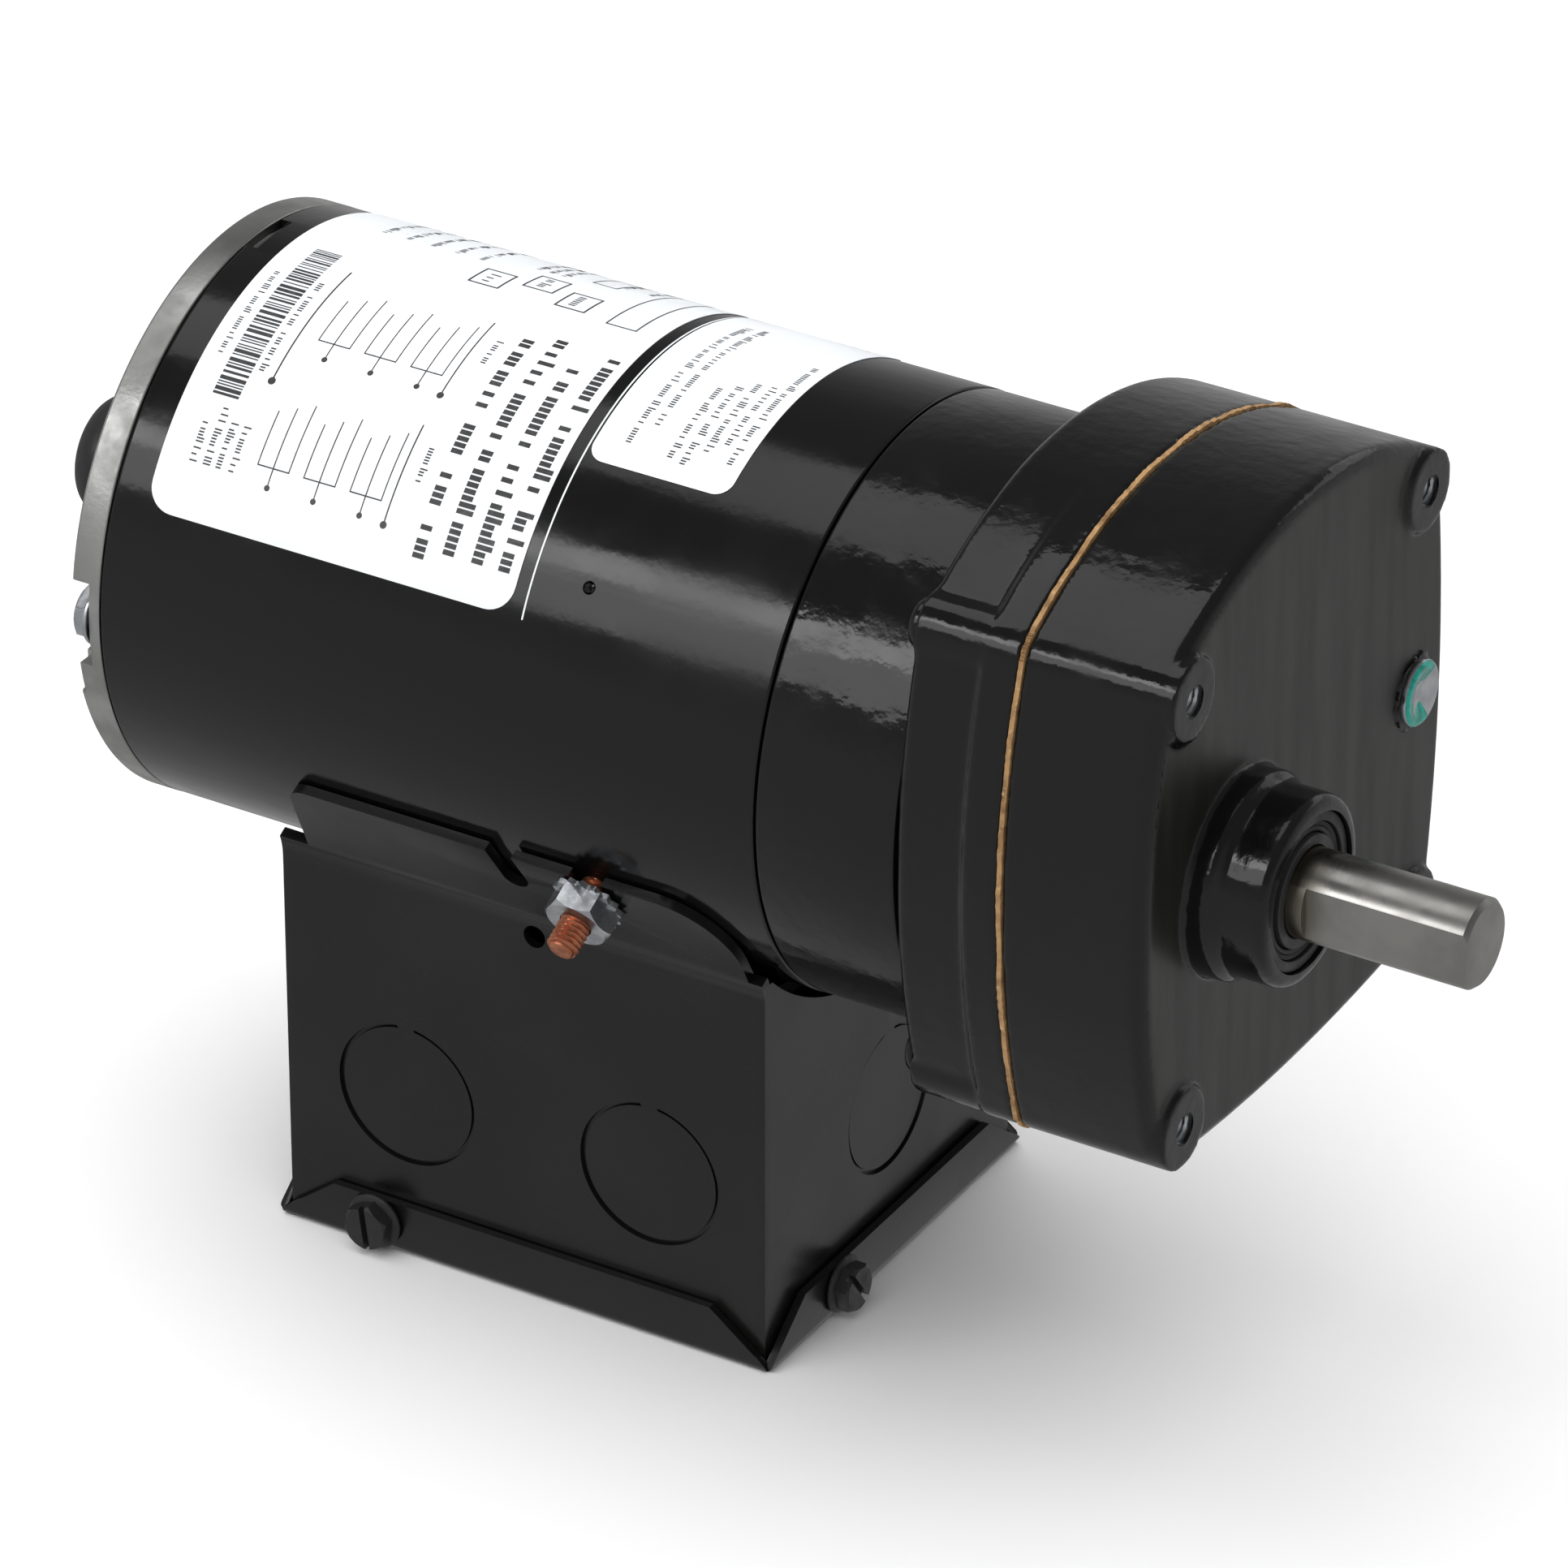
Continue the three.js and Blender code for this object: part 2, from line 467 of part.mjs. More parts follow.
function frontEndShield() {
  const seat = SHELL_FRONT_X + GAP;
  const front = GEARBOX_REAR_X - GAP;
  const body = turned([
    [seat, MOTOR_R], [seat, STATOR_R], [seat - SHIELD_LIP, STATOR_R], [seat - SHIELD_LIP, 37],
    [front - 5, 36], [front - 5, HUB.r], [front - 16, HUB.r], [front - 16, HUB.boreR],
    [front, HUB.boreR], [front, MOTOR_R], [seat, MOTOR_R],
  ], LARGE);
  return cut(body, [
    ...boltAngles.map((angle) => rod(seat - 6, front - 8, THROUGH_BOLT_R + GAP, TINY, ...boltAt(angle))),
    ...eachCorner((y, z) => rod(front - 4, front + 1, SCREW_HEAD.r + 0.5, TINY, y, z)),
  ]);
}

add(onMotorAxis, "motor_shell", BLACK_PAINT, motorShell());
add(onMotorAxis, "rear_end_shield", ALUMINIUM, rearEndShield());
add(onMotorAxis, "front_end_shield", BLACK_PAINT, frontEndShield());
boltAngles.forEach((angle, i) => {
  const underHead = RIM_REAR_X + BOLT_NOTCH.depth - GAP;
  const head = solid(new THREE.CylinderGeometry(BOLT_HEAD.r, BOLT_HEAD.r, BOLT_HEAD.height, 6)
    .rotateZ(Math.PI / 2).translate(underHead - BOLT_HEAD.height / 2, ...boltAt(angle)));
  add(onMotorAxis, `through_bolt_${i + 1}`, ZINC,
    head.add(rod(underHead - 1, GEARBOX_REAR_X - 9, THROUGH_BOLT_R, TINY, ...boltAt(angle))));
});

function rearCap() {
  const { x, r, wall } = REAR_CAP;
  const mouth = RIM_REAR_X - HUB.rise - GAP;
  return turned([
    [mouth, r], [x + 3, r - 0.3], [x + 1, r - 1.2], [x, r - 3.5], [x, 0], [x + wall, 0],
    [x + wall, r - wall - 1.5], [mouth, r - wall], [mouth, r],
  ]);
}
add(onMotorAxis, "rear_cap", RUBBER, rearCap());

const SLOT = { inner: BORE_R + 1.2, outer: 33, halfWidth: 2.2 };

function statorCore() {
  const shape = new THREE.Shape().absarc(0, 0, STATOR_R, 0, 2 * Math.PI, false);
  shape.holes.push(new THREE.Path().absarc(0, 0, BORE_R, 0, 2 * Math.PI, true));
  const stack = slab(shape, STATOR_REAR_X, STATOR_FRONT_X, 24);
  const slotAngles = Array.from({ length: STATOR_SLOTS }, (_, i) => (360 * (i + 0.5)) / STATOR_SLOTS);
  const slots = slotAngles.map((angle) =>
    block(STATOR_REAR_X - 1, STATOR_FRONT_X + 1, SLOT.inner, SLOT.outer, -SLOT.halfWidth, SLOT.halfWidth)
      .rotate([angle, 0, 0]));
  const notches = boltAngles.map((angle) =>
    rod(STATOR_REAR_X - 1, STATOR_FRONT_X + 1, THROUGH_BOLT_R + GAP, TINY, ...boltAt(angle)));
  return cut(stack, [...slots, ...notches]);
}

/** The bundle of wire that loops from slot to slot past one end of the core. */
const endTurn = (near, far) => turned([
  [near, WINDING.innerR], [near, WINDING.outerR], [near + (far - near) * 0.8, WINDING.outerR],
  [far, WINDING.outerR - 3], [far, WINDING.innerR], [near, WINDING.innerR],
]);

add(onMotorAxis, "stator_core", DARK_STEEL, statorCore());
add(onMotorAxis, "winding_front", COPPER, endTurn(STATOR_FRONT_X + 1, STATOR_FRONT_X + WINDING.reach));
add(onMotorAxis, "winding_rear", COPPER, endTurn(STATOR_REAR_X - 1, STATOR_REAR_X - WINDING.reach));

/** Laminations with a cast end ring at each end. */
function rotorCore() {
  const ringOut = 6;
  return turned([
    [STATOR_REAR_X, ROTOR_SHAFT_R + 1 + GAP], [STATOR_REAR_X - ringOut, 13], [STATOR_REAR_X - ringOut, 20],
    [STATOR_REAR_X, ROTOR_R], [STATOR_FRONT_X, ROTOR_R], [STATOR_FRONT_X + ringOut, 20],
    [STATOR_FRONT_X + ringOut, 13], [STATOR_FRONT_X, ROTOR_SHAFT_R + 1 + GAP],
    [STATOR_REAR_X, ROTOR_SHAFT_R + 1 + GAP],
  ]);
}

/** The rotor shaft, thicker under the laminations, with the first pinion cut on its front end. */
function rotorShaft() {
  const core = turned([
    [RIM_REAR_X - 10, 0], [RIM_REAR_X - 10, ROTOR_SHAFT_R], [STATOR_REAR_X - 2, ROTOR_SHAFT_R],
    [STATOR_REAR_X - 2, ROTOR_SHAFT_R + 1], [STATOR_FRONT_X + 2, ROTOR_SHAFT_R + 1],
    [STATOR_FRONT_X + 2, ROTOR_SHAFT_R], [GEARBOX_REAR_X + 4, ROTOR_SHAFT_R],
    [STAGES[0].rear, 3.2], [STAGES[0].front, 3.2], [STAGES[0].front, 0],
  ], SMALL);
  return core.add(toothedDisc(STAGES[0], STAGES[0].pinion, rotorAt, 0, 0));
}

add(onMotorAxis, "rotor_core", ALUMINIUM, rotorCore());
add(onMotorAxis, "rotor_shaft", STEEL, rotorShaft());
add(onMotorAxis, "rotor_oil_seal", RUBBER,
  ring(GEARBOX_REAR_X + GAP, GEARBOX_REAR_X + 3.2, ROTOR_SHAFT_R + GAP, 7.7, SMALL));
add(onMotorAxis, "motor_bearing_front", BRONZE,
  ring(GEARBOX_REAR_X - 15, GEARBOX_REAR_X - 1, ROTOR_SHAFT_R + GAP, 7, SMALL));
add(onMotorAxis, "motor_bearing_rear", BRONZE,
  ring(RIM_REAR_X - 3, SHELL_REAR_X + 7.5, ROTOR_SHAFT_R + GAP, 7, SMALL));
add(onMotorAxis, "thrust_washer_front", FIBRE,
  ring(GEARBOX_REAR_X - 18, GEARBOX_REAR_X - 17, ROTOR_SHAFT_R + GAP, 7.5, SMALL));
add(onMotorAxis, "thrust_washer_rear", FIBRE,
  ring(SHELL_REAR_X + 9, SHELL_REAR_X + 10, ROTOR_SHAFT_R + GAP, 7.5, SMALL));

// ---- ground stud ----
add(onMotorAxis, "ground_screw", COPPER, alongGround(MOTOR_R - SHELL_WALL + 0.1, GROUND_END, GROUND_R));
const nutSeat = MOTOR_R + 2 * GAP + SHEET + 0.2;
add(onMotorAxis, "ground_nut", ZINC, cut(union([
  alongGround(nutSeat, nutSeat + GROUND_NUT.washerThick, GROUND_NUT.washer),
  alongGround(nutSeat + 0.5, nutSeat + GROUND_NUT.height, GROUND_NUT.r, 6),
]), [alongGround(nutSeat - 1, nutSeat + GROUND_NUT.height + 1, GROUND_R + GAP)]));

// ---- conduit box ----
const alongY = new THREE.Vector3(0, 1, 0);
const alongX = new THREE.Vector3(1, 0, 0);

/** One side wall with its flange leaning out to lie along the motor shell. */
function boxSide(side) {
  const touch = MOTOR_R + GAP;
  const [c, s] = [Math.cos(EAR_ANGLE), Math.sin(EAR_ANGLE)];
  const along = (r, t) => [r * c + t * -s, AXIS_Z - r * s - t * c]; // t runs down the flange
  const wallAt = BOX.halfWidth;
  const bend = (r, y) => (r * c - y) / s; // how far down the flange meets the wall
  const points = [
    [wallAt, BOX.bottom], along(touch + SHEET, bend(touch + SHEET, wallAt)),
    along(touch + SHEET, -EAR.top), along(touch, -EAR.top), along(touch, bend(touch, wallAt - SHEET)),
    [wallAt - SHEET, BOX.bottom],
  ].map(([y, z]) => new THREE.Vector2(side * y, z));
  return slab(new THREE.Shape(side > 0 ? points : points.reverse()), BOX.rear, BOX.front);
}

/** A tool that cuts square through the flange on one side, from a shape drawn in x and height up it. */
function throughEar(side, shape) {
  const [c, s] = [Math.cos(EAR_ANGLE), Math.sin(EAR_ANGLE)];
  const outward = new THREE.Vector3(0, side * c, -s);
  const place = new THREE.Matrix4()
    .makeBasis(alongX, new THREE.Vector3(0, side * s, c), outward)
    .setPosition(outward.clone().multiplyScalar(MOTOR_R - 1).add(new THREE.Vector3(0, 0, AXIS_Z)));
  const options = { depth: SHEET + 4, bevelEnabled: false, curveSegments: 5 };
  return solid(new THREE.ExtrudeGeometry(shape, options).applyMatrix4(place));
}

/** What the flange leaves free behind its rear corner. */
function earRear() {
  const { rear, top, foot, rearRound: r } = EAR;
  const shape = new THREE.Shape();
  shape.moveTo(BOX.rear - 1, foot);
  shape.lineTo(rear - 1, foot);
  shape.lineTo(rear, top - r);
  shape.absarc(rear + r, top - r, r, Math.PI, Math.PI / 2, true);
  shape.lineTo(rear + r, top + 1);
  shape.lineTo(BOX.rear - 1, top + 1);
  return shape;
}

/** What the flange leaves free in front of its rounded front corner. */
function earFront() {
  const { front, top, foot, frontRound: r } = EAR;
  const shape = new THREE.Shape();
  shape.moveTo(BOX.front + 1, foot);
  shape.lineTo(front, foot);
  shape.absarc(front - r, top - r, r, 0, Math.PI / 2, false);
  shape.lineTo(front - r, top + 1);
  shape.lineTo(BOX.front + 1, top + 1);
  return shape;
}

/** An open slot from the flange's edge down to a round end, which may lie to one side of its mouth. */
function earSlot(x, halfWidth, bottom, reach = 0) {
  const shape = new THREE.Shape();
  shape.moveTo(x + halfWidth, EAR.top + 1);
  shape.lineTo(x - halfWidth, EAR.top + 1);
  shape.lineTo(x - halfWidth + reach, bottom);
  shape.absarc(x + reach, bottom, halfWidth, Math.PI, 2 * Math.PI, false);
  return shape;
}

/** An end wall: straight sides and an arc that clears the motor shell. */
function boxEnd(x0) {
  const drop = BOX.top - AXIS_Z;
  const start = Math.asin(drop / SADDLE_R);
  const shape = new THREE.Shape();
  shape.moveTo(-BOX.halfWidth, BOX.bottom);
  shape.lineTo(BOX.halfWidth, BOX.bottom);
  shape.lineTo(BOX.halfWidth, BOX.top);
  shape.absarc(0, AXIS_Z, SADDLE_R, start, -Math.PI - start, true);
  shape.lineTo(-BOX.halfWidth, BOX.top);
  return slab(shape, x0, x0 + SHEET);
}

/** The groove punched round a knockout, cut into the outer face of a wall. */
function knockoutGroove(centre, outward, wall) {
  const band = (r) => rodAlong(centre, outward, wall - 0.5, wall + 1, r, MIDDLE);
  return cut(band(KNOCKOUT_R), [band(KNOCKOUT_R - 0.6)]);
}

// Cover screws: one on each flange, as [centre, outward direction, distance to the wall's face].
const coverScrews = [
  [new THREE.Vector3(-COVER_SCREW.along, 0, COVER_SCREW.z), alongY.clone().negate(), BOX.halfWidth],
  [new THREE.Vector3(0, -COVER_SCREW.across, COVER_SCREW.z), alongX, BOX.front],
  [new THREE.Vector3(COVER_SCREW.along, 0, COVER_SCREW.z), alongY, BOX.halfWidth],
  [new THREE.Vector3(0, COVER_SCREW.across, COVER_SCREW.z), alongX.clone().negate(), BOX.front],
];
const screwHole = ([centre, outward, wall]) =>
  rodAlong(centre, outward, wall - 5, wall + 5, COVER_SCREW.shank + GAP, TINY);

function conduitBox() {
  const sides = union([boxSide(1), boxSide(-1), boxEnd(BOX.rear), boxEnd(BOX.front - SHEET)]);
  const grooves = [-1, 1].flatMap((side) => KNOCKOUTS_X.map((x) =>
    knockoutGroove(new THREE.Vector3(x, 0, KNOCKOUT_Z), new THREE.Vector3(0, side, 0), BOX.halfWidth)));
  const trims = [-1, 1].flatMap((side) =>
    [earRear(), earFront(), earSlot(HOOK.x, HOOK.halfWidth, HOOK.bottom, HOOK.reach)]
      .map((shape) => throughEar(side, shape)));
  return cut(sides, [
    ...grooves,
    ...trims,
    knockoutGroove(new THREE.Vector3(0, 0, KNOCKOUT_Z), alongX, BOX.front),
    rodAlong(new THREE.Vector3(WALL_HOLE.x, 0, WALL_HOLE.z), alongY,
      -BOX.halfWidth - 4, -BOX.halfWidth + 4, WALL_HOLE.r, TINY),
    throughEar(-1, earSlot(GROUND_X, GROUND_R + 0.5, 0)),
    ...coverScrews.map(screwHole),
  ]);
}

/** A tray of four flanges, each with its ends cut at 45 degrees. */
function conduitCover() {
  const { halfLength, halfWidth, thick, height, corner } = COVER;
  const plate = block(-halfLength, halfLength, -halfWidth, halfWidth, 0, thick);
  const flange = (half, reachOut) => {
    const top = half - corner + 1;
    const shape = new THREE.Shape([[-half, 0], [half, 0], [top, height], [-top, height]]
      .map(([a, b]) => new THREE.Vector2(a, b)));
    return slab(shape, reachOut - thick, reachOut);
  };
  const ends = [0, 180].map((turn) => flange(halfWidth, halfLength).rotate([0, 0, turn]));
  const sides = [90, 270].map((turn) => flange(halfLength, halfWidth).rotate([0, 0, turn]));
  return cut(union([plate, ...ends, ...sides]), coverScrews.map(screwHole));
}

add(gearmotor, "conduit_box", BOX_PAINT, conduitBox());
add(gearmotor, "conduit_cover", BOX_PAINT, conduitCover());
coverScrews.forEach(([centre, outward, wall], i) => {
  const seat = wall + GAP + COVER.thick + GAP;
  const stretch = (from, to, r, segments) => rodAlong(centre, outward, from, to, r, segments);
  add(gearmotor, `cover_screw_${i + 1}`, DARK_STEEL, union([
    stretch(seat, seat + 0.8, COVER_SCREW.washer, SMALL),
    stretch(seat + 0.5, seat + 3, COVER_SCREW.head, 6),
    stretch(wall - 5, seat + 0.5, COVER_SCREW.shank, TINY),
  ]));
});

// ---- wiring inside the box ----
add(onMotorAxis, "lead_grommet", RUBBER, (() => {
  const stretch = (from, to, r) => rodAlong(leadOrigin, leadDirection, from, to, r);
  const neck = LEAD_HOLE_R - 2 * GAP;
  return cut(union([stretch(39.4, 40.8, 7), stretch(40.5, 44, neck), stretch(43.6, 45, 7)]),
    [stretch(38, 48, 4)]);
})());

const LEADS = [
  ["lead_white", -LEAD_PITCH, 0xd8d8d2], ["lead_black", 0, 0x1a1a1a], ["lead_red", LEAD_PITCH, 0x9c2a22],
];
LEADS.forEach(([name, offset, color]) => {
  const alongHole = (r) => leadDirection.clone().multiplyScalar(r)
    .add(new THREE.Vector3(LEAD_X + offset, 0, AXIS_Z));
  const path = new THREE.CatmullRomCurve3([
    alongHole(36), alongHole(44), alongHole(52),
    new THREE.Vector3(24 + offset, 4, 37), new THREE.Vector3(10 + offset, -14, 33),
    new THREE.Vector3(offset, -22, 22), new THREE.Vector3(offset - 4, -24, 10),
  ]);
  const section = new THREE.Shape().absarc(0, 0, LEAD_R, 0, 2 * Math.PI, false);
  add(gearmotor, name, finish(color, 0.6, 0), solid(new THREE.ExtrudeGeometry(section, {
    steps: 10, curveSegments: 3, bevelEnabled: false, extrudePath: path,
  })));
});

/** An oval can standing on its side along the box, with its terminal end towards the front. */
function runCapacitor() {
  const oval = new THREE.Shape();
  oval.absarc(CAPACITOR.far, CAPACITOR.z, CAPACITOR.r, -Math.PI / 2, Math.PI / 2, false);
  oval.absarc(CAPACITOR.near, CAPACITOR.z, CAPACITOR.r, Math.PI / 2, (3 * Math.PI) / 2, false);
  return slab(tidyShape(oval, 5), CAPACITOR.rear, CAPACITOR.front);
}
add(gearmotor, "run_capacitor", ALUMINIUM, runCapacitor());

export default gearmotor;
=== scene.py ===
"""A parallel-shaft gearmotor with its conduit box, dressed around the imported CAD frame. Metres, +Z up."""
import json
import math
import random

import bmesh
import bpy
from mathutils import Matrix, Vector


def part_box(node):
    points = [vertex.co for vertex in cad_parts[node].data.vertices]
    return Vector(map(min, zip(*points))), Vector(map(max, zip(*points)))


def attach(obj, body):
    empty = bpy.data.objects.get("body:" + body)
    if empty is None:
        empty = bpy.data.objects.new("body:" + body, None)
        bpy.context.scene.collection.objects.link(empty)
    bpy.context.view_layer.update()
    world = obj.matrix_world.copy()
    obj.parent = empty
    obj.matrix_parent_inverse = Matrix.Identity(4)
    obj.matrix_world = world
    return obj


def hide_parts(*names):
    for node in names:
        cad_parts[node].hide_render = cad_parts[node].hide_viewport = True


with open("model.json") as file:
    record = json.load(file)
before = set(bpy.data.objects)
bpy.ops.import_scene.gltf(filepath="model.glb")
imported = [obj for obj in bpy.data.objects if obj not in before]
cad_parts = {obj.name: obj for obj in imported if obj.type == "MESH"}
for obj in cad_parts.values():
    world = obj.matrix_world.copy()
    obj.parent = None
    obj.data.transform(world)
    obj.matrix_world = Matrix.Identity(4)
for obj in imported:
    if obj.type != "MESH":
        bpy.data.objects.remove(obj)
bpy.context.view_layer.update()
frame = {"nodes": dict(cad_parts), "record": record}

MM = 0.001
TURN = 2 * math.pi
random.seed(7)

# ---- driving dimensions, read from the frame ----
mounts = {m["name"]: m for m in frame["record"]["mounts"]}


def low(node):
    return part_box(node)[0]


def high(node):
    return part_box(node)[1]


SHELL_LOW, SHELL_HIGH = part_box("motor_shell")
MOTOR_R = (SHELL_HIGH.z - SHELL_LOW.z) / 2
AXIS_Z = (SHELL_HIGH.z + SHELL_LOW.z) / 2
FACE_X = mounts["pad_1"]["pos_m"][0]
PAD_HALF = 33 * MM
PAD_R = 6 * MM
PAD_RAISE = 1 * MM
SIDE_PEAKS = [p * MM for p in (41.5, 48, 44, 41)]  # gearbox bulge towards +Y, +Z, -Y, -Z
GEARBOX_REAR_X = low("gear_housing_rear").x
GASKET_LOW_X, GASKET_HIGH_X = low("housing_gasket").x, high("housing_gasket").x
OUTPUT_Y = mounts["output_shaft_end"]["pos_m"][1]
OUTPUT_END_X = mounts["output_shaft_end"]["pos_m"][0]
OUTPUT_R = 6.35 * MM
OUTPUT_FLAT = OUTPUT_Y - mounts["output_shaft_flat"]["pos_m"][1]
BOSS_X = high("gear_housing_front").x
BOSS_R = 13.5 * MM
RIM_REAR_X = low("rear_end_shield").x + 3.5 * MM
BOX_LOW, BOX_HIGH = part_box("conduit_box")
COVER_LOW, COVER_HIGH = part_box("conduit_cover")
BOX_HALF_Y = 34 * MM
BEND_Z = AXIS_Z - 31 * MM
SHEET = 1.5 * MM
SADDLE_R = 44.5 * MM  # the box's end walls clear the shell by this radius
KNOCKOUT_R = 11.1 * MM
EAR_ANGLE = math.radians(28)  # where the side flanges touch the shell, below level
# The flange's outline in mm: x along the motor, and height up it from where it touches.
EAR_REAR, EAR_FRONT, EAR_FOOT, EAR_TOP = -33.5, 37, -10.5, 4
EAR_REAR_ROUND, EAR_FRONT_ROUND, EAR_PAST_END = 3, 11, 45
HOOK_X, HOOK_HALF_WIDTH, HOOK_BOTTOM, HOOK_REACH = 0.9, 2.1, -1.2, 1.4
GROUND_SLOT_HALF_WIDTH = 2.6
STUD_START = 41.9 * MM  # from the motor axis
CORNERS = [(1, 1), (-1, 1), (-1, -1), (1, -1)]


# ---- material kit ----
class Paint:
    """A Principled material whose surface detail is built from noise in object space."""

    def __init__(self, name, colour, rough, metal=0.0, **sockets):
        self.mat = bpy.data.materials.new(name)
        self.mat.use_nodes = True
        self.nodes = self.mat.node_tree.nodes
        self.links = self.mat.node_tree.links
        self.bsdf = self.nodes["Principled BSDF"]
        self.bsdf.inputs["Base Color"].default_value = (*colour, 1)
        self.bsdf.inputs["Roughness"].default_value = rough
        self.bsdf.inputs["Metallic"].default_value = metal
        for key, value in sockets.items():
            self.bsdf.inputs[key.replace("_", " ")].default_value = value
        self.coords = self.nodes.new("ShaderNodeTexCoord").outputs["Object"]
        self.height = None
        self.colour = colour

    def noise(self, scale, detail=3.0, rough=0.5, stretch=(1, 1, 1), distortion=0.0):
        mapping = self.nodes.new("ShaderNodeMapping")
        mapping.inputs["Scale"].default_value = stretch
        self.links.new(self.coords, mapping.inputs["Vector"])
        tex = self.nodes.new("ShaderNodeTexNoise")
        tex.inputs["Scale"].default_value = scale
        tex.inputs["Detail"].default_value = detail
        tex.inputs["Roughness"].default_value = rough
        tex.inputs["Distortion"].default_value = distortion
        self.links.new(mapping.outputs["Vector"], tex.inputs["Vector"])
        return tex.outputs["Fac"]

    def ramp(self, value, low_in, high_in, low_out, high_out):
        node = self.nodes.new("ShaderNodeMapRange")
        for key, number in zip(("From Min", "From Max", "To Min", "To Max"),
                               (low_in, high_in, low_out, high_out)):
            node.inputs[key].default_value = number
        self.links.new(value, node.inputs["Value"])
        return node.outputs["Result"]

    def roughen(self, value, low_out, high_out):
        self.links.new(self.ramp(value, 0.35, 0.65, low_out, high_out), self.bsdf.inputs["Roughness"])
        return self

    def tint(self, value, other, low_in=0.4, high_in=0.6):
        """Blends the base colour towards another one where the value is high."""
        mix = self.nodes.new("ShaderNodeMix")
        mix.data_type = "RGBA"
        self.links.new(self.ramp(value, low_in, high_in, 0, 1), mix.inputs["Factor"])
        base = self.bsdf.inputs["Base Color"]
        if base.is_linked:
            self.links.new(base.links[0].from_socket, mix.inputs["A"])
        else:
            mix.inputs["A"].default_value = (*self.colour, 1)
        mix.inputs["B"].default_value = (*other, 1)
        self.links.new(mix.outputs["Result"], base)
        return self

    def bump(self, value, depth, strength=1.0):
        node = self.nodes.new("ShaderNodeBump")
        node.inputs["Distance"].default_value = depth
        node.inputs["Strength"].default_value = strength
        self.links.new(value, node.inputs["Height"])
        if self.height:
            self.links.new(self.height, node.inputs["Normal"])
        self.height = node.outputs["Normal"]
        self.links.new(self.height, self.bsdf.inputs["Normal"])
        return self

    def along(self, axis):
        split = self.nodes.new("ShaderNodeSeparateXYZ")
        self.links.new(self.coords, split.inputs["Vector"])
        return split.outputs[axis]


def casting_paint():
    p = Paint("casting_paint", (0.003, 0.003, 0.003), 0.14)
    p.roughen(p.noise(140, 4), 0.07, 0.2)
    p.bump(p.noise(150, 2), 0.0004, 0.4)
    return p.bump(p.noise(620, 2), 0.0001, 0.5).mat


def face_paint():
    """The machined front face under thin paint, with faint upright streaks."""
    p = Paint("face_paint", (0.01, 0.01, 0.009), 0.36)
    p.roughen(p.noise(60, 4, stretch=(1, 4, 0.5)), 0.31, 0.42)
    p.tint(p.noise(60, 3, stretch=(1, 3, 0.4)), (0.016, 0.016, 0.013), 0.4, 0.8)
    p.bump(p.noise(260, 2), 0.00006, 0.4)
    return p.bump(p.noise(900, 3, stretch=(1, 1, 0.3)), 0.00004, 0.35).mat


def shell_paint():
    p = Paint("shell_paint", (0.003, 0.003, 0.003), 0.13)
    p.roughen(p.noise(70, 4), 0.1, 0.2)
    p.bump(p.noise(120, 2, stretch=(0.3, 1, 1)), 0.0003, 0.3)
    return p.bump(p.noise(700, 2), 0.00004, 0.4).mat


def sheet_paint():
    p = Paint("sheet_paint", (0.004, 0.004, 0.004), 0.26)
    p.roughen(p.noise(50, 4), 0.2, 0.33)
    p.tint(p.noise(35, 3), (0.008, 0.0075, 0.007), 0.45, 0.8)
    return p.bump(p.noise(800, 2), 0.00003, 0.4).mat


def cast_aluminium():
    p = Paint("cast_aluminium", (0.55, 0.55, 0.54), 0.42, 1.0)
    p.roughen(p.noise(180, 5), 0.32, 0.55)
    p.tint(p.noise(90, 5), (0.42, 0.42, 0.41))
    return p.bump(p.noise(1300, 3), 0.00006, 0.5).mat


def ground_steel():
    """A ground shaft: fine rings round it and a brown film of oil next to the bearing."""
    p = Paint("ground_steel", (0.42, 0.41, 0.39), 0.3, 1.0)
    p.roughen(p.noise(130, 5), 0.24, 0.42)
    p.tint(p.noise(110, 5), (0.33, 0.325, 0.31), 0.42, 0.68)
    p.tint(p.ramp(p.along("X"), BOSS_X + 5 * MM, BOSS_X, 0, 0.75), (0.2, 0.17, 0.11), 0, 1)
    return p.bump(p.noise(500, 4, stretch=(8, 1, 1)), 0.00003, 0.4).mat


def zinc():
    p = Paint("zinc_plate", (0.68, 0.7, 0.72), 0.28, 1.0)
    p.roughen(p.noise(500, 4), 0.18, 0.42)
    p.tint(p.noise(260, 4), (0.5, 0.52, 0.55))
    return p.bump(p.noise(1500, 3), 0.00004, 0.4).mat


def copper():
    p = Paint("copper_plate", (0.62, 0.24, 0.13), 0.36, 0.9)
    p.roughen(p.noise(700, 4), 0.25, 0.5)
    p.tint(p.noise(420, 4), (0.4, 0.13, 0.07))
    return p.bump(p.noise(1800, 3), 0.00004, 0.4).mat


def winding_wire():
    p = Paint("winding_wire", (0.55, 0.2, 0.09), 0.3, 0.85)
    p.tint(p.noise(300, 4), (0.4, 0.12, 0.05))
    return p.bump(p.noise(120, 2, stretch=(12, 1, 1), distortion=0.6), 0.0006, 0.8).mat


def laminations():
    p = Paint("laminations", (0.16, 0.16, 0.17), 0.45, 1.0)
    p.roughen(p.noise(300, 4), 0.35, 0.6)
    return p.bump(p.noise(90, 1, stretch=(22, 0.1, 0.1)), 0.0003, 0.8).mat


def gasket_fibre():
    p = Paint("gasket_fibre", (0.36, 0.21, 0.09), 0.85)
    p.tint(p.noise(500, 5), (0.17, 0.09, 0.035), 0.42, 0.7)
    p.tint(p.noise(1500, 3), (0.55, 0.38, 0.2), 0.58, 0.8)
    return p.bump(p.noise(2200, 4), 0.0002, 0.8).mat


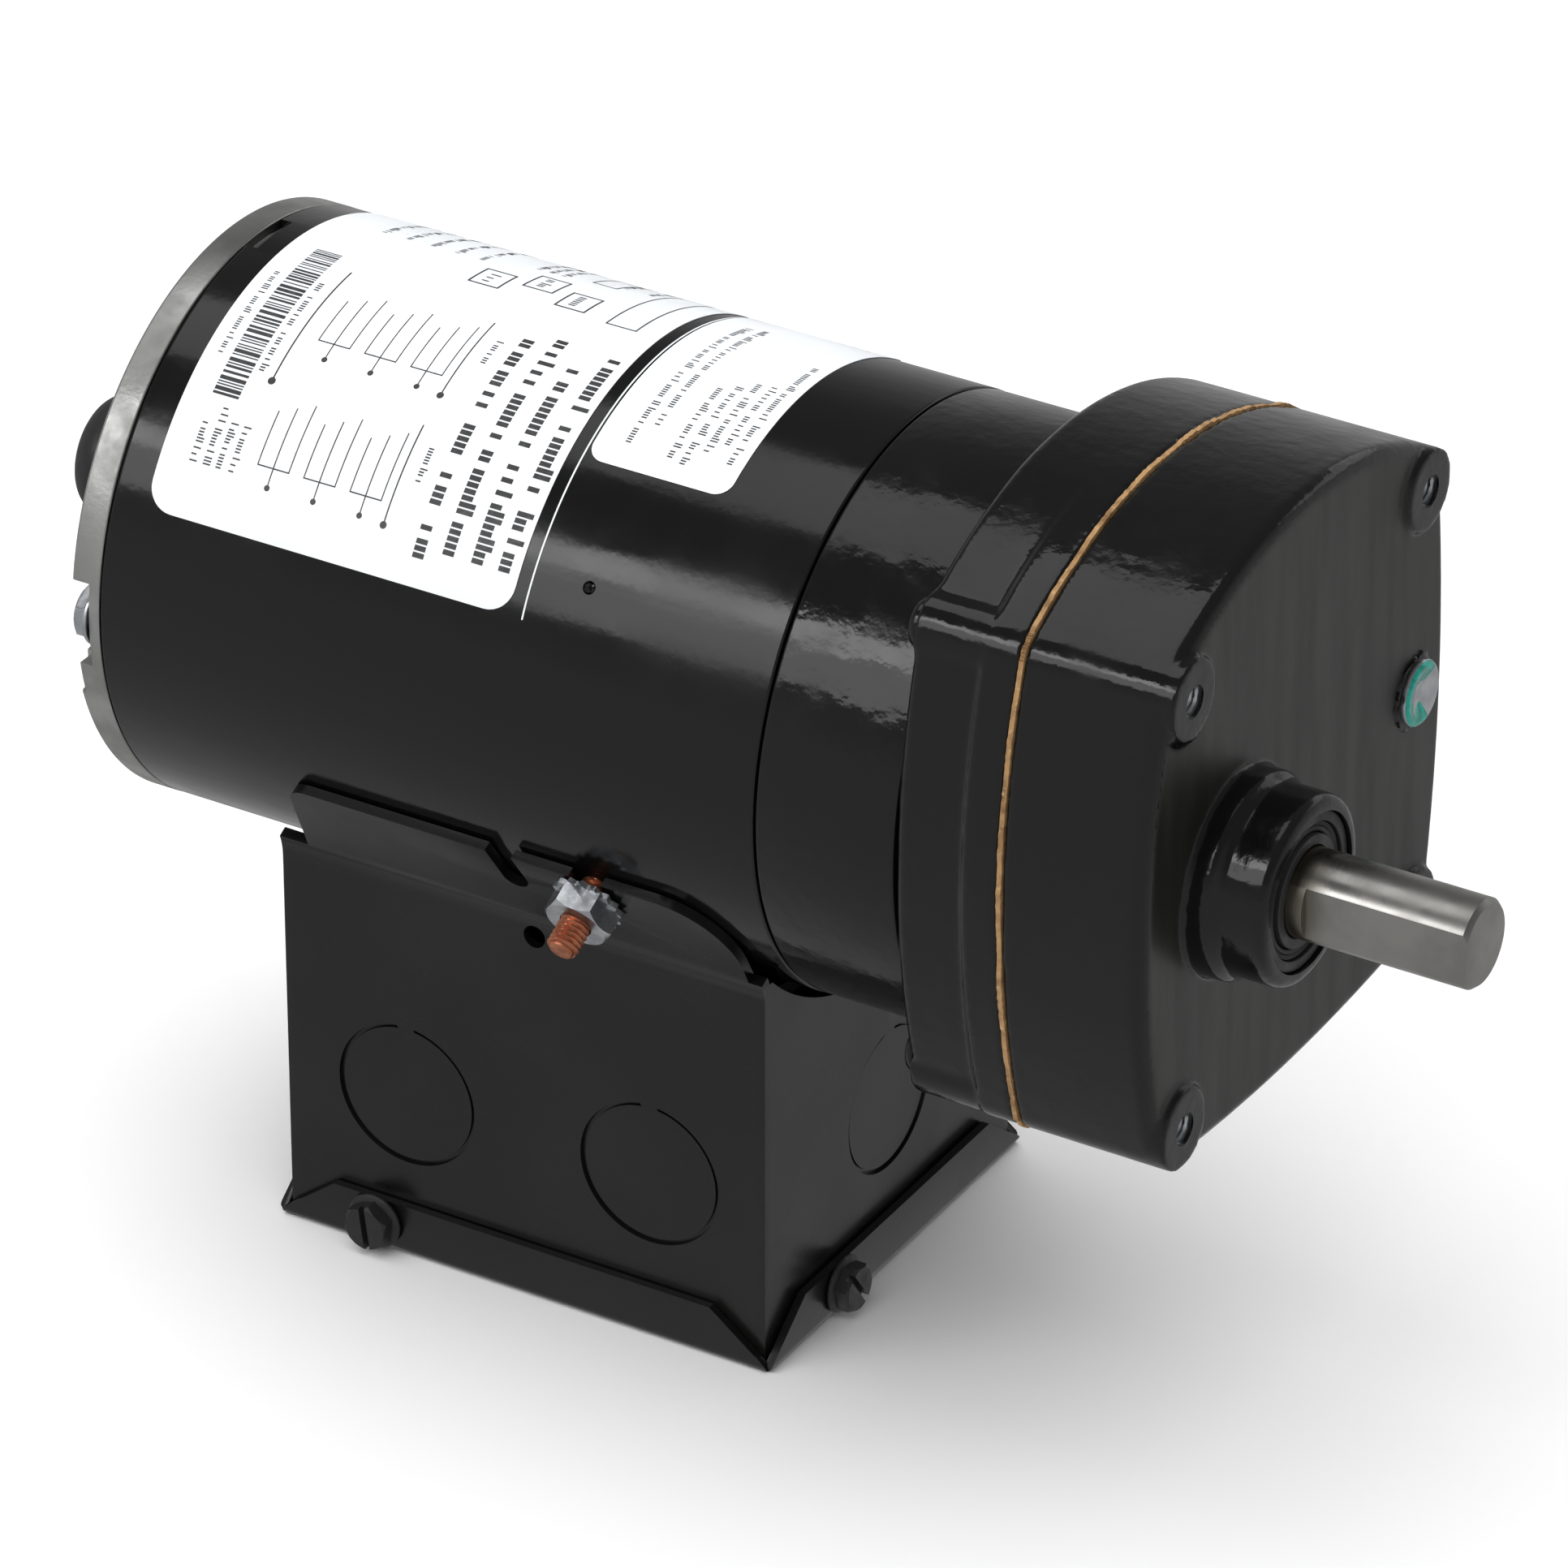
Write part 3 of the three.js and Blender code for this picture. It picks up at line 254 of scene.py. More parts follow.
def label_paper():
    p = Paint("label_paper", (0.8, 0.83, 0.86), 0.32)
    p.roughen(p.noise(90, 3), 0.26, 0.4)
    p.tint(p.noise(50, 3), (0.74, 0.77, 0.8), 0.4, 0.8)
    return p.bump(p.noise(300, 2), 0.00003, 0.3).mat


def ink(name, shade):
    p = Paint(name, (shade, shade, shade * 1.05), 0.45)
    p.roughen(p.noise(600, 3), 0.35, 0.55)
    p.tint(p.noise(1800, 3), (shade * 2.5, shade * 2.5, shade * 2.6), 0.55, 0.8)
    return p.mat


def sealant():
    p = Paint("sealant", (0.0, 0.17, 0.13), 0.2, Coat_Weight=0.4)
    p.tint(p.noise(700, 3), (0.0, 0.3, 0.24))
    return p.bump(p.noise(900, 2), 0.0001, 0.6).mat


def even(name, colour, rough, metal, grain, spread, pores, depth, strength):
    """A finish with no pattern but patchy gloss, from (scale, detail) of noise, and fine pores."""
    p = Paint(name, colour, rough, metal)
    p.roughen(p.noise(*grain), *spread)
    return p.bump(p.noise(pores, 3), depth, strength).mat


def rubber(name, shade):
    return even(name, (shade, shade, shade * 1.05), 0.5, 0, (200, 4), (0.36, 0.6), 1400, 0.00005, 0.5)


def insulation(name, colour):
    return even(name, colour, 0.45, 0, (300, 3), (0.35, 0.55), 900, 0.00003, 0.4)


LOOKS = {
    "casting": casting_paint(), "face": face_paint(), "shell": shell_paint(), "sheet": sheet_paint(),
    "aluminium": cast_aluminium(), "steel": ground_steel(), "zinc": zinc(), "copper": copper(),
    "gear": even("gear_steel", (0.3, 0.3, 0.31), 0.35, 1, (300, 4), (0.25, 0.5), 900, 0.00003, 0.4),
    "oxide": even("black_oxide", (0.014, 0.014, 0.015), 0.5, 0, (400, 4), (0.38, 0.6), 1600, 0.00008, 0.5),
    "bronze": even("sintered_bronze", (0.5, 0.33, 0.16), 0.5, 1, (500, 4), (0.4, 0.65), 2500, 0.00004, 0.6),
    "wire": winding_wire(),
    "laminations": laminations(), "rubber": rubber("black_rubber", 0.012),
    "fibre": gasket_fibre(), "label": label_paper(),
    "ink": ink("label_ink", 0.03), "sealant": sealant(),
    "race": rubber("dark_race", 0.02),
}
SLOT_LOOKS = {
    "casting_paint": "casting", "shell_paint": "shell", "box_paint": "sheet", "cast_aluminium": "aluminium",
    "lamination": "laminations", "ground_steel": "steel", "gear_steel": "gear", "zinc_plate": "zinc",
    "black_screw": "oxide", "bronze": "bronze", "copper": "wire", "black_rubber": "rubber",
    "gasket_fibre": "fibre",
}
for wire, colour in (("white", (0.7, 0.7, 0.66)), ("black", (0.02, 0.02, 0.02)), ("red", (0.4, 0.03, 0.02))):
    LOOKS[f"lead_{wire}"] = insulation(f"lead_{wire}_pvc", colour)
    SLOT_LOOKS[f"lead_{wire}"] = f"lead_{wire}"


# ---- mesh kit ----
def fill(rings, bm, caps=True):
    """Skins a list of closed rings of points with quads, and caps the first and last."""
    made = [[bm.verts.new(p) for p in ring] for ring in rings]
    count = len(made[0])
    for a, b in zip(made, made[1:]):
        for i in range(count):
            j = (i + 1) % count
            bm.faces.new((a[i], a[j], b[j], b[i]))
    if caps:
        bm.faces.new(made[0][::-1])
        bm.faces.new(made[-1])
    return made


def rod(x0, x1, r):
    """The profile of a plain cylinder."""
    return [(x0, 0), (x0, r), (x1, r), (x1, 0)]


def sleeve(x0, x1, inner, outer):
    """The profile of a plain ring."""
    return [(x0, inner), (x0, outer), (x1, outer), (x1, inner), (x0, inner)]


def turned(profile, segments=96, y=0.0, z=None):
    """A closed solid turned about an X-parallel axis from [x, radius] points; a ring if it closes."""
    z = AXIS_Z if z is None else z
    bm = bmesh.new()
    ring_like = profile[0] == profile[-1]
    points = profile[:-1] if ring_like else profile
    loops = []
    for x, r in points:
        if r == 0:
            loops.append([bm.verts.new((x, y, z))] * segments)
            continue
        loops.append([bm.verts.new((x, y + r * math.cos(TURN * i / segments),
                                    z + r * math.sin(TURN * i / segments))) for i in range(segments)])
    pairs = list(zip(loops, loops[1:])) + ([(loops[-1], loops[0])] if ring_like else [])
    for a, b in pairs:
        for i in range(segments):
            j = (i + 1) % segments
            corners = list(dict.fromkeys((a[i], a[j], b[j], b[i])))
            if len(corners) > 2:
                bm.faces.new(corners)
    return bm


def rounded(profile, radius, steps=4):
    """The same [x, r] profile with its inner corners rounded off."""
    closed = profile[0] == profile[-1]
    points = [Vector(p) for p in (profile[:-1] if closed else profile)]
    out = []
    for i, p in enumerate(points):
        before, after = points[i - 1], points[(i + 1) % len(points)]
        if not closed and i in (0, len(points) - 1):
            out.append(tuple(p))
            continue
        reach = min(radius, 0.45 * (before - p).length, 0.45 * (after - p).length)
        a, b = p + (before - p).normalized() * reach, p + (after - p).normalized() * reach
        for k in range(steps + 1):
            t = k / steps
            out.append(tuple(a.lerp(p, t).lerp(p.lerp(b, t), t)))
    return out + [out[0]] if closed else out


def extruded(points, x0, x1):
    """A solid from an outline of (y, z) points, between two X planes."""
    bm = bmesh.new()
    fill([[(x, y, z) for y, z in points] for x in (x0, x1)], bm)
    return bm


def block(lo, hi):
    bm = bmesh.new()
    bmesh.ops.create_cube(bm, size=1)
    for v in bm.verts:
        v.co = Vector(lo[k] if v.co[k] < 0 else hi[k] for k in range(3))
    return bm


def aimed(bm, origin, direction):
    """Turns a solid drawn along +X from the origin so that it starts at a point and runs in a direction."""
    turn = Vector((1, 0, 0)).rotation_difference(Vector(direction)).to_matrix().to_4x4()
    bmesh.ops.transform(bm, matrix=Matrix.Translation(origin) @ turn, verts=bm.verts)
    return bm


def joined(*parts):
    out = bmesh.new()
    for bm in parts:
        mesh = bpy.data.meshes.new("part")
        bm.to_mesh(mesh)
        out.from_mesh(mesh)
        bpy.data.meshes.remove(mesh)
    return out


def thing(name, bm, *looks):
    """An object from a bmesh, with its faces turned outwards."""
    bmesh.ops.remove_doubles(bm, verts=bm.verts, dist=1e-7)
    bmesh.ops.recalc_face_normals(bm, faces=bm.faces)
    mesh = bpy.data.meshes.new(name)
    bm.to_mesh(mesh)
    obj = bpy.data.objects.new(name, mesh)
    bpy.context.scene.collection.objects.link(obj)
    for look in looks:
        mesh.materials.append(LOOKS[look])
    return obj


def taken(obj):
    """The object's mesh as a bmesh; the object goes."""
    bm = bmesh.new()
    bm.from_mesh(obj.data)
    bpy.data.objects.remove(obj)
    return bm


def point(obj, origin, direction):
    """Aims an object's own mesh, as aimed() does."""
    bm = bmesh.new()
    bm.from_mesh(obj.data)
    aimed(bm, origin, direction)
    bm.to_mesh(obj.data)


def settle(obj):
    """Applies the modifiers to the object's own mesh."""
    graph = bpy.context.evaluated_depsgraph_get()
    mesh = bpy.data.meshes.new_from_object(obj.evaluated_get(graph))
    obj.modifiers.clear()
    old, obj.data = obj.data, mesh
    bpy.data.meshes.remove(old)
    return obj


def modify(obj, kind, **settings):
    modifier = obj.modifiers.new(kind.title(), kind)
    for key, value in settings.items():
        setattr(modifier, key, value)
    return settle(obj)


def cut(obj, *tools, operation="DIFFERENCE"):
    for bm in tools:
        tool = thing("tool", bm)
        modify(obj, "BOOLEAN", object=tool, operation=operation, solver="EXACT")
        bpy.data.objects.remove(tool)
    return obj


def soften(obj, width, segments=3, angle=35):
    return modify(obj, "BEVEL", width=width, segments=segments, limit_method="ANGLE",
                  angle_limit=math.radians(angle), harden_normals=False)


def finish(obj, body, slot, *nodes, crease=35):
    obj.data.shade_smooth()
    obj.data.set_sharp_from_angle(angle=math.radians(crease))
    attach(obj, body)
    if nodes:
        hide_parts(*nodes)
    return obj


# ---- gearbox castings ----
def gearbox_outline(inset=0.0, steps=14):
    """Four bulging sides that run tangent into the corner arcs, as (y, z) points."""
    sides = []
    for peak in SIDE_PEAKS:
        rise = peak - PAD_HALF
        radius = (PAD_HALF ** 2 + rise ** 2 - PAD_R ** 2) / (2 * (rise - PAD_R))
        sides.append((peak - radius, radius, math.atan2(PAD_HALF, radius - rise)))
    points = []

    def arc(cy, cz, r, start, end, count):
        for i in range(count):
            angle = start + (end - start) * i / count
            points.append((cy + r * math.cos(angle), AXIS_Z + cz + r * math.sin(angle)))

    for i, (centre, radius, spread) in enumerate(sides):
        facing = i * math.pi / 2
        c, s = round(math.cos(facing)), round(math.sin(facing))
        arc(c * centre, s * centre, radius - inset, facing - spread, facing + spread, 2 * steps)
        arc(PAD_HALF * (c - s), PAD_HALF * (c + s), PAD_R - inset,
            facing + spread, facing + math.pi / 2 - sides[(i + 1) % 4][2], steps)
    return points


def lofted(stations):
    """A solid through gearbox outlines given as (x, inset)."""
    bm = bmesh.new()
    fill([[(x, y, z) for y, z in gearbox_outline(inset)] for x, inset in stations], bm)
    return bm


def lofted_with_lip(stations):
    """The same, given as (x, inset, sunk), where the wall is sunk by that much on the -Y side only."""
    bm = bmesh.new()
    rings = []
    for x, inset, sunk in stations:
        ring = []
        for (y, z), (deep_y, deep_z) in zip(gearbox_outline(inset), gearbox_outline(inset + sunk)):
            away = math.acos(max(-1, min(1, -y / math.hypot(y, z - AXIS_Z))))
            share = max(0.0, min(1.0, (math.radians(78) - away) / math.radians(26)))
            ring.append((x, y + (deep_y - y) * share, z + (deep_z - z) * share))
        rings.append(ring)
    fill(rings, bm)
    return bm


def corner_rods(x0, x1, r, segments=48):
    return joined(*[turned(rod(x0, x1, r), segments, y * PAD_HALF, AXIS_Z + z * PAD_HALF) for y, z in CORNERS])


def hollow(x0, x1):
    """The gearbox's inside, which leaves a post round each corner screw."""
    tool = thing("hollow", lofted([(x0, 3 * MM), (x1, 3 * MM)]))
    return taken(cut(tool, corner_rods(x0 - MM, x1 + MM, 5 * MM)))


def painted_casting(name, solids, voxel=0.45 * MM):
    """Melts overlapping solids into one skin with the soft edges that thick enamel leaves."""
    obj = thing(name, joined(*solids), "casting", "face")
    modify(obj, "REMESH", mode="VOXEL", voxel_size=voxel, adaptivity=0)
    return modify(obj, "SMOOTH", factor=0.5, iterations=5)


def front_casting():
    face = FACE_X - PAD_RAISE
    chamfer = 1.8 * MM
    solids = [
        lofted([(GASKET_HIGH_X, 0), (face - chamfer, 0),
                (face - chamfer * 0.4, 0.5 * MM), (face, chamfer)]),
        corner_rods(GASKET_HIGH_X, FACE_X, PAD_R),
        turned([(face - 2 * MM, 0), (face - 2 * MM, BOSS_R + 1.3 * MM),
                (FACE_X + 2.6 * MM, BOSS_R + 1.2 * MM), (FACE_X + 3.6 * MM, BOSS_R),
                (BOSS_X - 1.2 * MM, BOSS_R), (BOSS_X - 0.4 * MM, BOSS_R - 0.4 * MM),
                (BOSS_X, BOSS_R - 1.2 * MM), (BOSS_X, 0)], 96, OUTPUT_Y),
    ]
    obj = painted_casting("front_casting", solids)
    floor = FACE_X - PAD_RAISE - 5 * MM
    cut(obj, hollow(GASKET_HIGH_X - 5 * MM, floor),
        corner_rods(GASKET_HIGH_X - MM, FACE_X + MM, 2.35 * MM, 32),
        turned(rod(FACE_X + 0.2 * MM, BOSS_X + MM, 11.35 * MM), 96, OUTPUT_Y),
        turned(rod(floor - MM, FACE_X + MM, 9 * MM), 64, OUTPUT_Y))
    for polygon in obj.data.polygons:
        on_face = abs(polygon.center.x - face) < 0.12 * MM and polygon.normal.x > 0.95
        polygon.material_index = 1 if on_face else 0
    return finish(obj, "root", "casting_paint", "gear_housing_front", crease=50)


def rear_casting():
    """The rear half: its wall steps out to a flange next to the gasket."""
    flange = 5.2 * MM
    x = GASKET_LOW_X
    solids = [
        lofted_with_lip([(GEARBOX_REAR_X, 0.8 * MM, 0.8 * MM), (GEARBOX_REAR_X + 0.9 * MM, 0, 0.8 * MM),
                         (x - flange - 0.8 * MM, 0, 0.8 * MM), (x - flange, 0, 0), (x, 0, 0)]),
        corner_rods(GEARBOX_REAR_X, x, PAD_R - 0.2 * MM),
    ]
    obj = painted_casting("rear_casting", solids)
    cut(obj, hollow(GEARBOX_REAR_X + 5 * MM, x + 5 * MM),
        turned(rod(GEARBOX_REAR_X - MM, GEARBOX_REAR_X + 6 * MM, 8 * MM), 64))
    return finish(obj, "root", "casting_paint", "gear_housing_rear", crease=50)


def fibre_gasket():
    """A thin band of fibre sheet whose cut edge stands slightly proud and uneven."""
    bm = bmesh.new()
    steps = 60
    outer = gearbox_outline(0.0, steps)
    inner = gearbox_outline(3 * MM, steps)
    centre = Vector((0, AXIS_Z))
    edge = []
    for i, point_out in enumerate(map(Vector, outer)):
        proud = 0.12 + 0.16 * math.sin(i * 0.061) * math.sin(i * 0.23) + random.uniform(-0.12, 0.12)
        edge.append(point_out + (point_out - centre).normalized() * proud * MM)
    loops = [[bm.verts.new((x, p[0], p[1])) for p in ring] for x, ring in (
        (GASKET_LOW_X, inner), (GASKET_LOW_X, edge), (GASKET_HIGH_X, edge), (GASKET_HIGH_X, inner))]
    for a, b in zip(loops, loops[1:] + loops[:1]):
        for i in range(len(a)):
            j = (i + 1) % len(a)
            bm.faces.new((a[i], a[j], b[j], b[i]))
    return finish(thing("fibre_gasket", bm, "fibre"), "root", "gasket_fibre", "housing_gasket")


def round_head_screws():
    for i in range(1, 5):
        lo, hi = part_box(f"housing_screw_{i}")
        y, z, r = (lo.y + hi.y) / 2, (lo.z + hi.z) / 2, 3.7 * MM
        seat = lo.x + 2.6 * MM
        profile = [(lo.x, 0), (lo.x + 0.1 * MM, r * 0.5), (lo.x + 0.8 * MM, r * 0.9), (lo.x + 1.6 * MM, r),
                   (seat, r), (seat, 1.8 * MM), (hi.x, 1.8 * MM), (hi.x, 0)]
        obj = thing(f"round_head_screw_{i}", turned(rounded(profile, 0.3 * MM), 48, y, z), "casting")
        cut(obj, block((lo.x - MM, y - 0.5 * MM, z - 4 * MM), (lo.x + 1.1 * MM, y + 0.5 * MM, z + 4 * MM)))
        finish(obj, "root", "black_screw", f"housing_screw_{i}")


def tapped_threads():
    """The thread crests that show inside the four mounting holes."""
    for i, (y, z) in enumerate(CORNERS, 1):
        core = threaded(FACE_X - 11 * MM, FACE_X - 0.5 * MM, 2.05 * MM, 0.28 * MM, 0.79 * MM, inward=True)
        bmesh.ops.translate(core, verts=core.verts, vec=(0, y * PAD_HALF, AXIS_Z + z * PAD_HALF))
        finish(thing(f"pad_thread_{i}", core, "zinc"), "root", "casting_paint")


def threaded(x0, x1, r, depth, pitch, inward=False, segments=28):
    """A helical thread about the X axis: a solid rod, or with inward a sleeve that faces the axis."""
    bm = bmesh.new()
    rows = max(8, round((x1 - x0) / pitch * 8))

    def at(x, i, radius):
        return x, radius * math.cos(TURN * i / segments), radius * math.sin(TURN * i / segments)

    def crest(x, i):
        turns = (x - x0) / pitch - i / segments
        return r + depth * (abs(2 * (turns % 1) - 1) - 0.5)

    surface = [[at(x, i, crest(x, i)) for i in range(segments)]
               for x in (x0 + (x1 - x0) * k / rows for k in range(rows + 1))]
    if not inward:
        fill(surface, bm)
        return bm
    back = [[at(x, i, r + depth) for i in range(segments)] for x in (surface[0][0][0], surface[-1][0][0])]
    made = fill([back[0], *surface, back[1]], bm, caps=False)
    for i in range(segments):
        j = (i + 1) % segments
        bm.faces.new((made[0][i], made[0][j], made[-1][j], made[-1][i]))
    return bm


def filler_plug():
    """A dished metal plug set in a ring of green sealant, with paint chipped round it."""
    lo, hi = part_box("oil_plug")
    y, z, r = (lo.y + hi.y) / 2, (lo.z + hi.z) / 2, 4.9 * MM
    face = FACE_X - PAD_RAISE
    profile = [(lo.x, 0), (lo.x, r * 0.7), (face + 0.3 * MM, r * 0.7), (face + 0.3 * MM, r),
               (face + 1.1 * MM, r), (face + 1.7 * MM, r * 0.88), (face + 1.5 * MM, r * 0.7),
               (face + 0.8 * MM, r * 0.35), (face + 0.7 * MM, 0)]
    plug = thing("filler_plug", turned(rounded(profile, 0.4 * MM), 64, y, z), "zinc", "sealant")
    for polygon in plug.data.polygons:
        p = polygon.center
        angle = math.atan2(p.z - z, p.y - y)
        reach = math.hypot(p.y - y, p.z - z) / r
        wet = 0.5 + 0.3 * math.sin(angle * 2 + 0.8) + 0.12 * math.sin(angle * 5)
        sealed = 0.3 < reach < 0.97 and reach > wet * 0.75 and math.cos(angle - 2.9) > -0.55
        polygon.material_index = 1 if sealed else 0
    finish(plug, "root", "cast_aluminium", "oil_plug")
    bm = bmesh.new()
    rim = [[(x, y + q * (1 + random.uniform(-0.06, 0.12)) * math.cos(TURN * i / 40),
             z + q * (1 + random.uniform(-0.06, 0.12)) * math.sin(TURN * i / 40)) for i in range(40)]
           for x, q in ((face - 0.1 * MM, r * 1.12), (face + 0.35 * MM, r * 1.06),
                        (face + 0.5 * MM, r * 1.01))]
    fill(rim, bm)
    finish(thing("plug_paint_edge", bm, "casting"), "root", "casting_paint")


# ---- output shaft and bearing ----
def output_shaft():
    x0 = low("output_shaft").x
    flat_from = OUTPUT_END_X - 24 * MM
    profile = [(x0, 0), (x0, 5 * MM), (x0 + 3.6 * MM, 5 * MM), (x0 + 3.6 * MM, OUTPUT_R),
               (OUTPUT_END_X - 0.7 * MM, OUTPUT_R), (OUTPUT_END_X, OUTPUT_R - 0.6 * MM), (OUTPUT_END_X, 0)]
    obj = thing("drive_shaft", turned(profile, 128, OUTPUT_Y), "steel")
    nick = Vector((OUTPUT_END_X, OUTPUT_Y + 3.2 * MM, AXIS_Z - 5.6 * MM))
    cut(obj, block((flat_from, OUTPUT_Y - 10 * MM, AXIS_Z - 10 * MM),
                   (OUTPUT_END_X + MM, OUTPUT_Y - OUTPUT_FLAT, AXIS_Z + 10 * MM)),
        block(nick - Vector((0.7, 0.5, 0.6)) * MM, nick + Vector((1, 0.5, 0.6)) * MM))
    soften(obj, 0.18 * MM, 3, 25)
    return finish(obj, "output", "ground_steel", "output_shaft", crease=30)


def race(name, x1, inner, outer, body, node):
    x0 = low("output_bearing_outer").x
    obj = thing(name, turned(rounded(sleeve(x0, x1, inner, outer), 0.25 * MM), 96, OUTPUT_Y), "race")
    finish(obj, body, "ground_steel", node)


def output_bearing():
    x1 = high("output_bearing_outer").x
    front = high("output_seal").x
    race("bearing_outer_race", front, 9.7 * MM, 11.25 * MM, "root", "output_bearing_outer")
    race("bearing_inner_race", front, OUTPUT_R + 0.1 * MM, 8.0 * MM, "output", "output_bearing_inner")
    seal = [(x1 + 0.4 * MM, 8.15 * MM), (x1 + 0.4 * MM, 9.55 * MM), (front - 0.5 * MM, 9.55 * MM),
            (front - 0.9 * MM, 9.1 * MM), (front - 0.5 * MM, 8.7 * MM), (front - 0.7 * MM, 8.15 * MM)]
    obj = thing("bearing_seal", turned(rounded(seal + seal[:1], 0.15 * MM), 96, OUTPUT_Y), "rubber")
    finish(obj, "root", "black_rubber", "output_seal")
    lo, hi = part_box("output_bearing_balls")
    track, ball_r, middle = 8.85 * MM, 0.8 * MM, (lo.x + hi.x) / 2
    web = 0.4 * MM
    parts = [turned(sleeve(middle - web, middle + web, track - web, track + web), 96, OUTPUT_Y)]
    for i in range(7):
        ball = bmesh.new()
        place = Matrix.Translation((middle, OUTPUT_Y + track * math.cos(TURN * i / 7),
                                    AXIS_Z + track * math.sin(TURN * i / 7)))
        bmesh.ops.create_icosphere(ball, subdivisions=3, radius=ball_r, matrix=place)
        parts.append(ball)
    finish(thing("ball_cage", joined(*parts), "gear"), "ball_cage", "ground_steel", "output_bearing_balls")


# ---- motor ----
def motor_shell():
    x0, x1 = SHELL_LOW.x, SHELL_HIGH.x
    wall = 1.2 * MM
    profile = sleeve(x0, x1, MOTOR_R - wall, MOTOR_R)
    obj = thing("painted_shell", turned(rounded(profile, 0.45 * MM), 256), "shell")
    stake = Vector((0, -math.cos(math.radians(35)), math.sin(math.radians(35))))
    spot = Vector((FACE_X - 91.5 * MM, 0, AXIS_Z)) + stake * (MOTOR_R - 0.5 * MM)
    dimple = turned([(0, 0), (0, 0.7 * MM), (1.5 * MM, 1.5 * MM), (1.5 * MM, 0)], 32, 0, 0)
    top = AXIS_Z + MOTOR_R
    cut(obj, block((x0 - MM, -4.5 * MM, top - 3 * MM), (x0 + 2 * MM, 4.5 * MM, top + MM)),
        aimed(dimple, spot, stake))
    finish(obj, "root", "shell_paint", "motor_shell")
    crumb = bmesh.new()
    bmesh.ops.create_icosphere(crumb, subdivisions=3, radius=0.8 * MM)
    for v in crumb.verts:
        v.co *= 1 + random.uniform(-0.25, 0.2)
    bmesh.ops.translate(crumb, verts=crumb.verts, vec=spot + stake * 0.25 * MM)
    finish(thing("shell_stake", crumb, "casting"), "root", "shell_paint")


def front_shield():
    lo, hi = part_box("front_end_shield")
    seat = SHELL_HIGH.x + 0.25 * MM
    inner = MOTOR_R - 6 * MM
    outer, spigot, bore, hub = MOTOR_R - 0.1 * MM, MOTOR_R - 1.7 * MM, 7.3 * MM, 12 * MM
    profile = [(seat, outer), (hi.x, outer), (hi.x, bore), (hi.x - 16 * MM, bore),
               (hi.x - 16 * MM, hub), (hi.x - 5 * MM, hub), (hi.x - 5 * MM, inner),
               (lo.x, inner), (lo.x, spigot), (seat, spigot), (seat, outer)]
    obj = thing("front_drum", turned(rounded(profile, 0.5 * MM), 256), "casting")
    return finish(obj, "root", "casting_paint", "front_end_shield")


def rear_shield():
    front = high("rear_end_shield").x
    seat = SHELL_LOW.x - 0.15 * MM
    r = MOTOR_R + 0.05 * MM
    back = RIM_REAR_X
    profile = [(seat, r), (back + 0.4 * MM, r), (back, r - 0.8 * MM), (back, 40 * MM),
               (back - 3.3 * MM, 18 * MM), (back - 3.5 * MM, 7.3 * MM), (seat + 8 * MM, 7.3 * MM),
               (seat + 8 * MM, 12 * MM), (seat - 2 * MM, 14 * MM), (seat - 1.2 * MM, 37.5 * MM),
               (front, 38 * MM), (front, 41.4 * MM), (seat, 41.4 * MM), (seat, r)]
    obj = thing("rear_shield", turned(rounded(profile, 0.35 * MM), 256), "aluminium")
    for i in range(2):
        turn = Matrix.Translation((0, 0, AXIS_Z)) @ Matrix.Rotation(i * math.pi, 4, "X")
        notch = block((back - 5 * MM, -MOTOR_R - 2 * MM, -6.5 * MM), (back + 3.2 * MM, -32 * MM, 6.5 * MM))
        bmesh.ops.transform(notch, matrix=turn, verts=notch.verts)
        step = block((back - 5 * MM, -MOTOR_R - 2 * MM, -12 * MM), (back + 1.1 * MM, -39 * MM, -6 * MM))
        bmesh.ops.transform(step, matrix=turn, verts=step.verts)
        cut(obj, notch, step)
    soften(obj, 0.25 * MM, 2, 40)
    return finish(obj, "root", "cast_aluminium", "rear_end_shield")


def hex_prism(x0, x1, across_corners, chamfer=0.5 * MM, turn=0.0):
    """A hexagonal head along +X with its front corners turned off."""
    r = across_corners / 2
    head = thing("hex", extruded([(r * math.cos(turn + TURN * i / 6), r * math.sin(turn + TURN * i / 6))
                                  for i in range(6)], x0, x1))
    cone = [(x0 - MM, 0), (x0 - MM, r + MM), (x1 - chamfer, r * 1.02), (x1, r * 0.86), (x1 + MM, 0)]
    return taken(cut(head, turned(cone, 64, 0, 0), operation="INTERSECT"))


def through_bolts():
    for i in range(1, 3):
        lo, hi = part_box(f"through_bolt_{i}")
        centre = Vector((lo.x + 2.6 * MM, (lo.y + hi.y) / 2, (lo.z + hi.z) / 2))
        head = hex_prism(0, 2.6 * MM, 8.4 * MM)
        washer = turned(rounded(rod(0, 0.6 * MM, 4.6 * MM), 0.2 * MM), 48, 0, 0)
        parts = [aimed(p, centre, (-1, 0, 0)) for p in (head, washer)]
        shank = turned(rod(centre.x, hi.x, 2 * MM), 32, centre.y, centre.z)
        obj = thing(f"long_bolt_{i}", joined(*parts, shank), "zinc")
        soften(obj, 0.15 * MM, 2)
        finish(obj, "root", "zinc_plate", f"through_bolt_{i}")


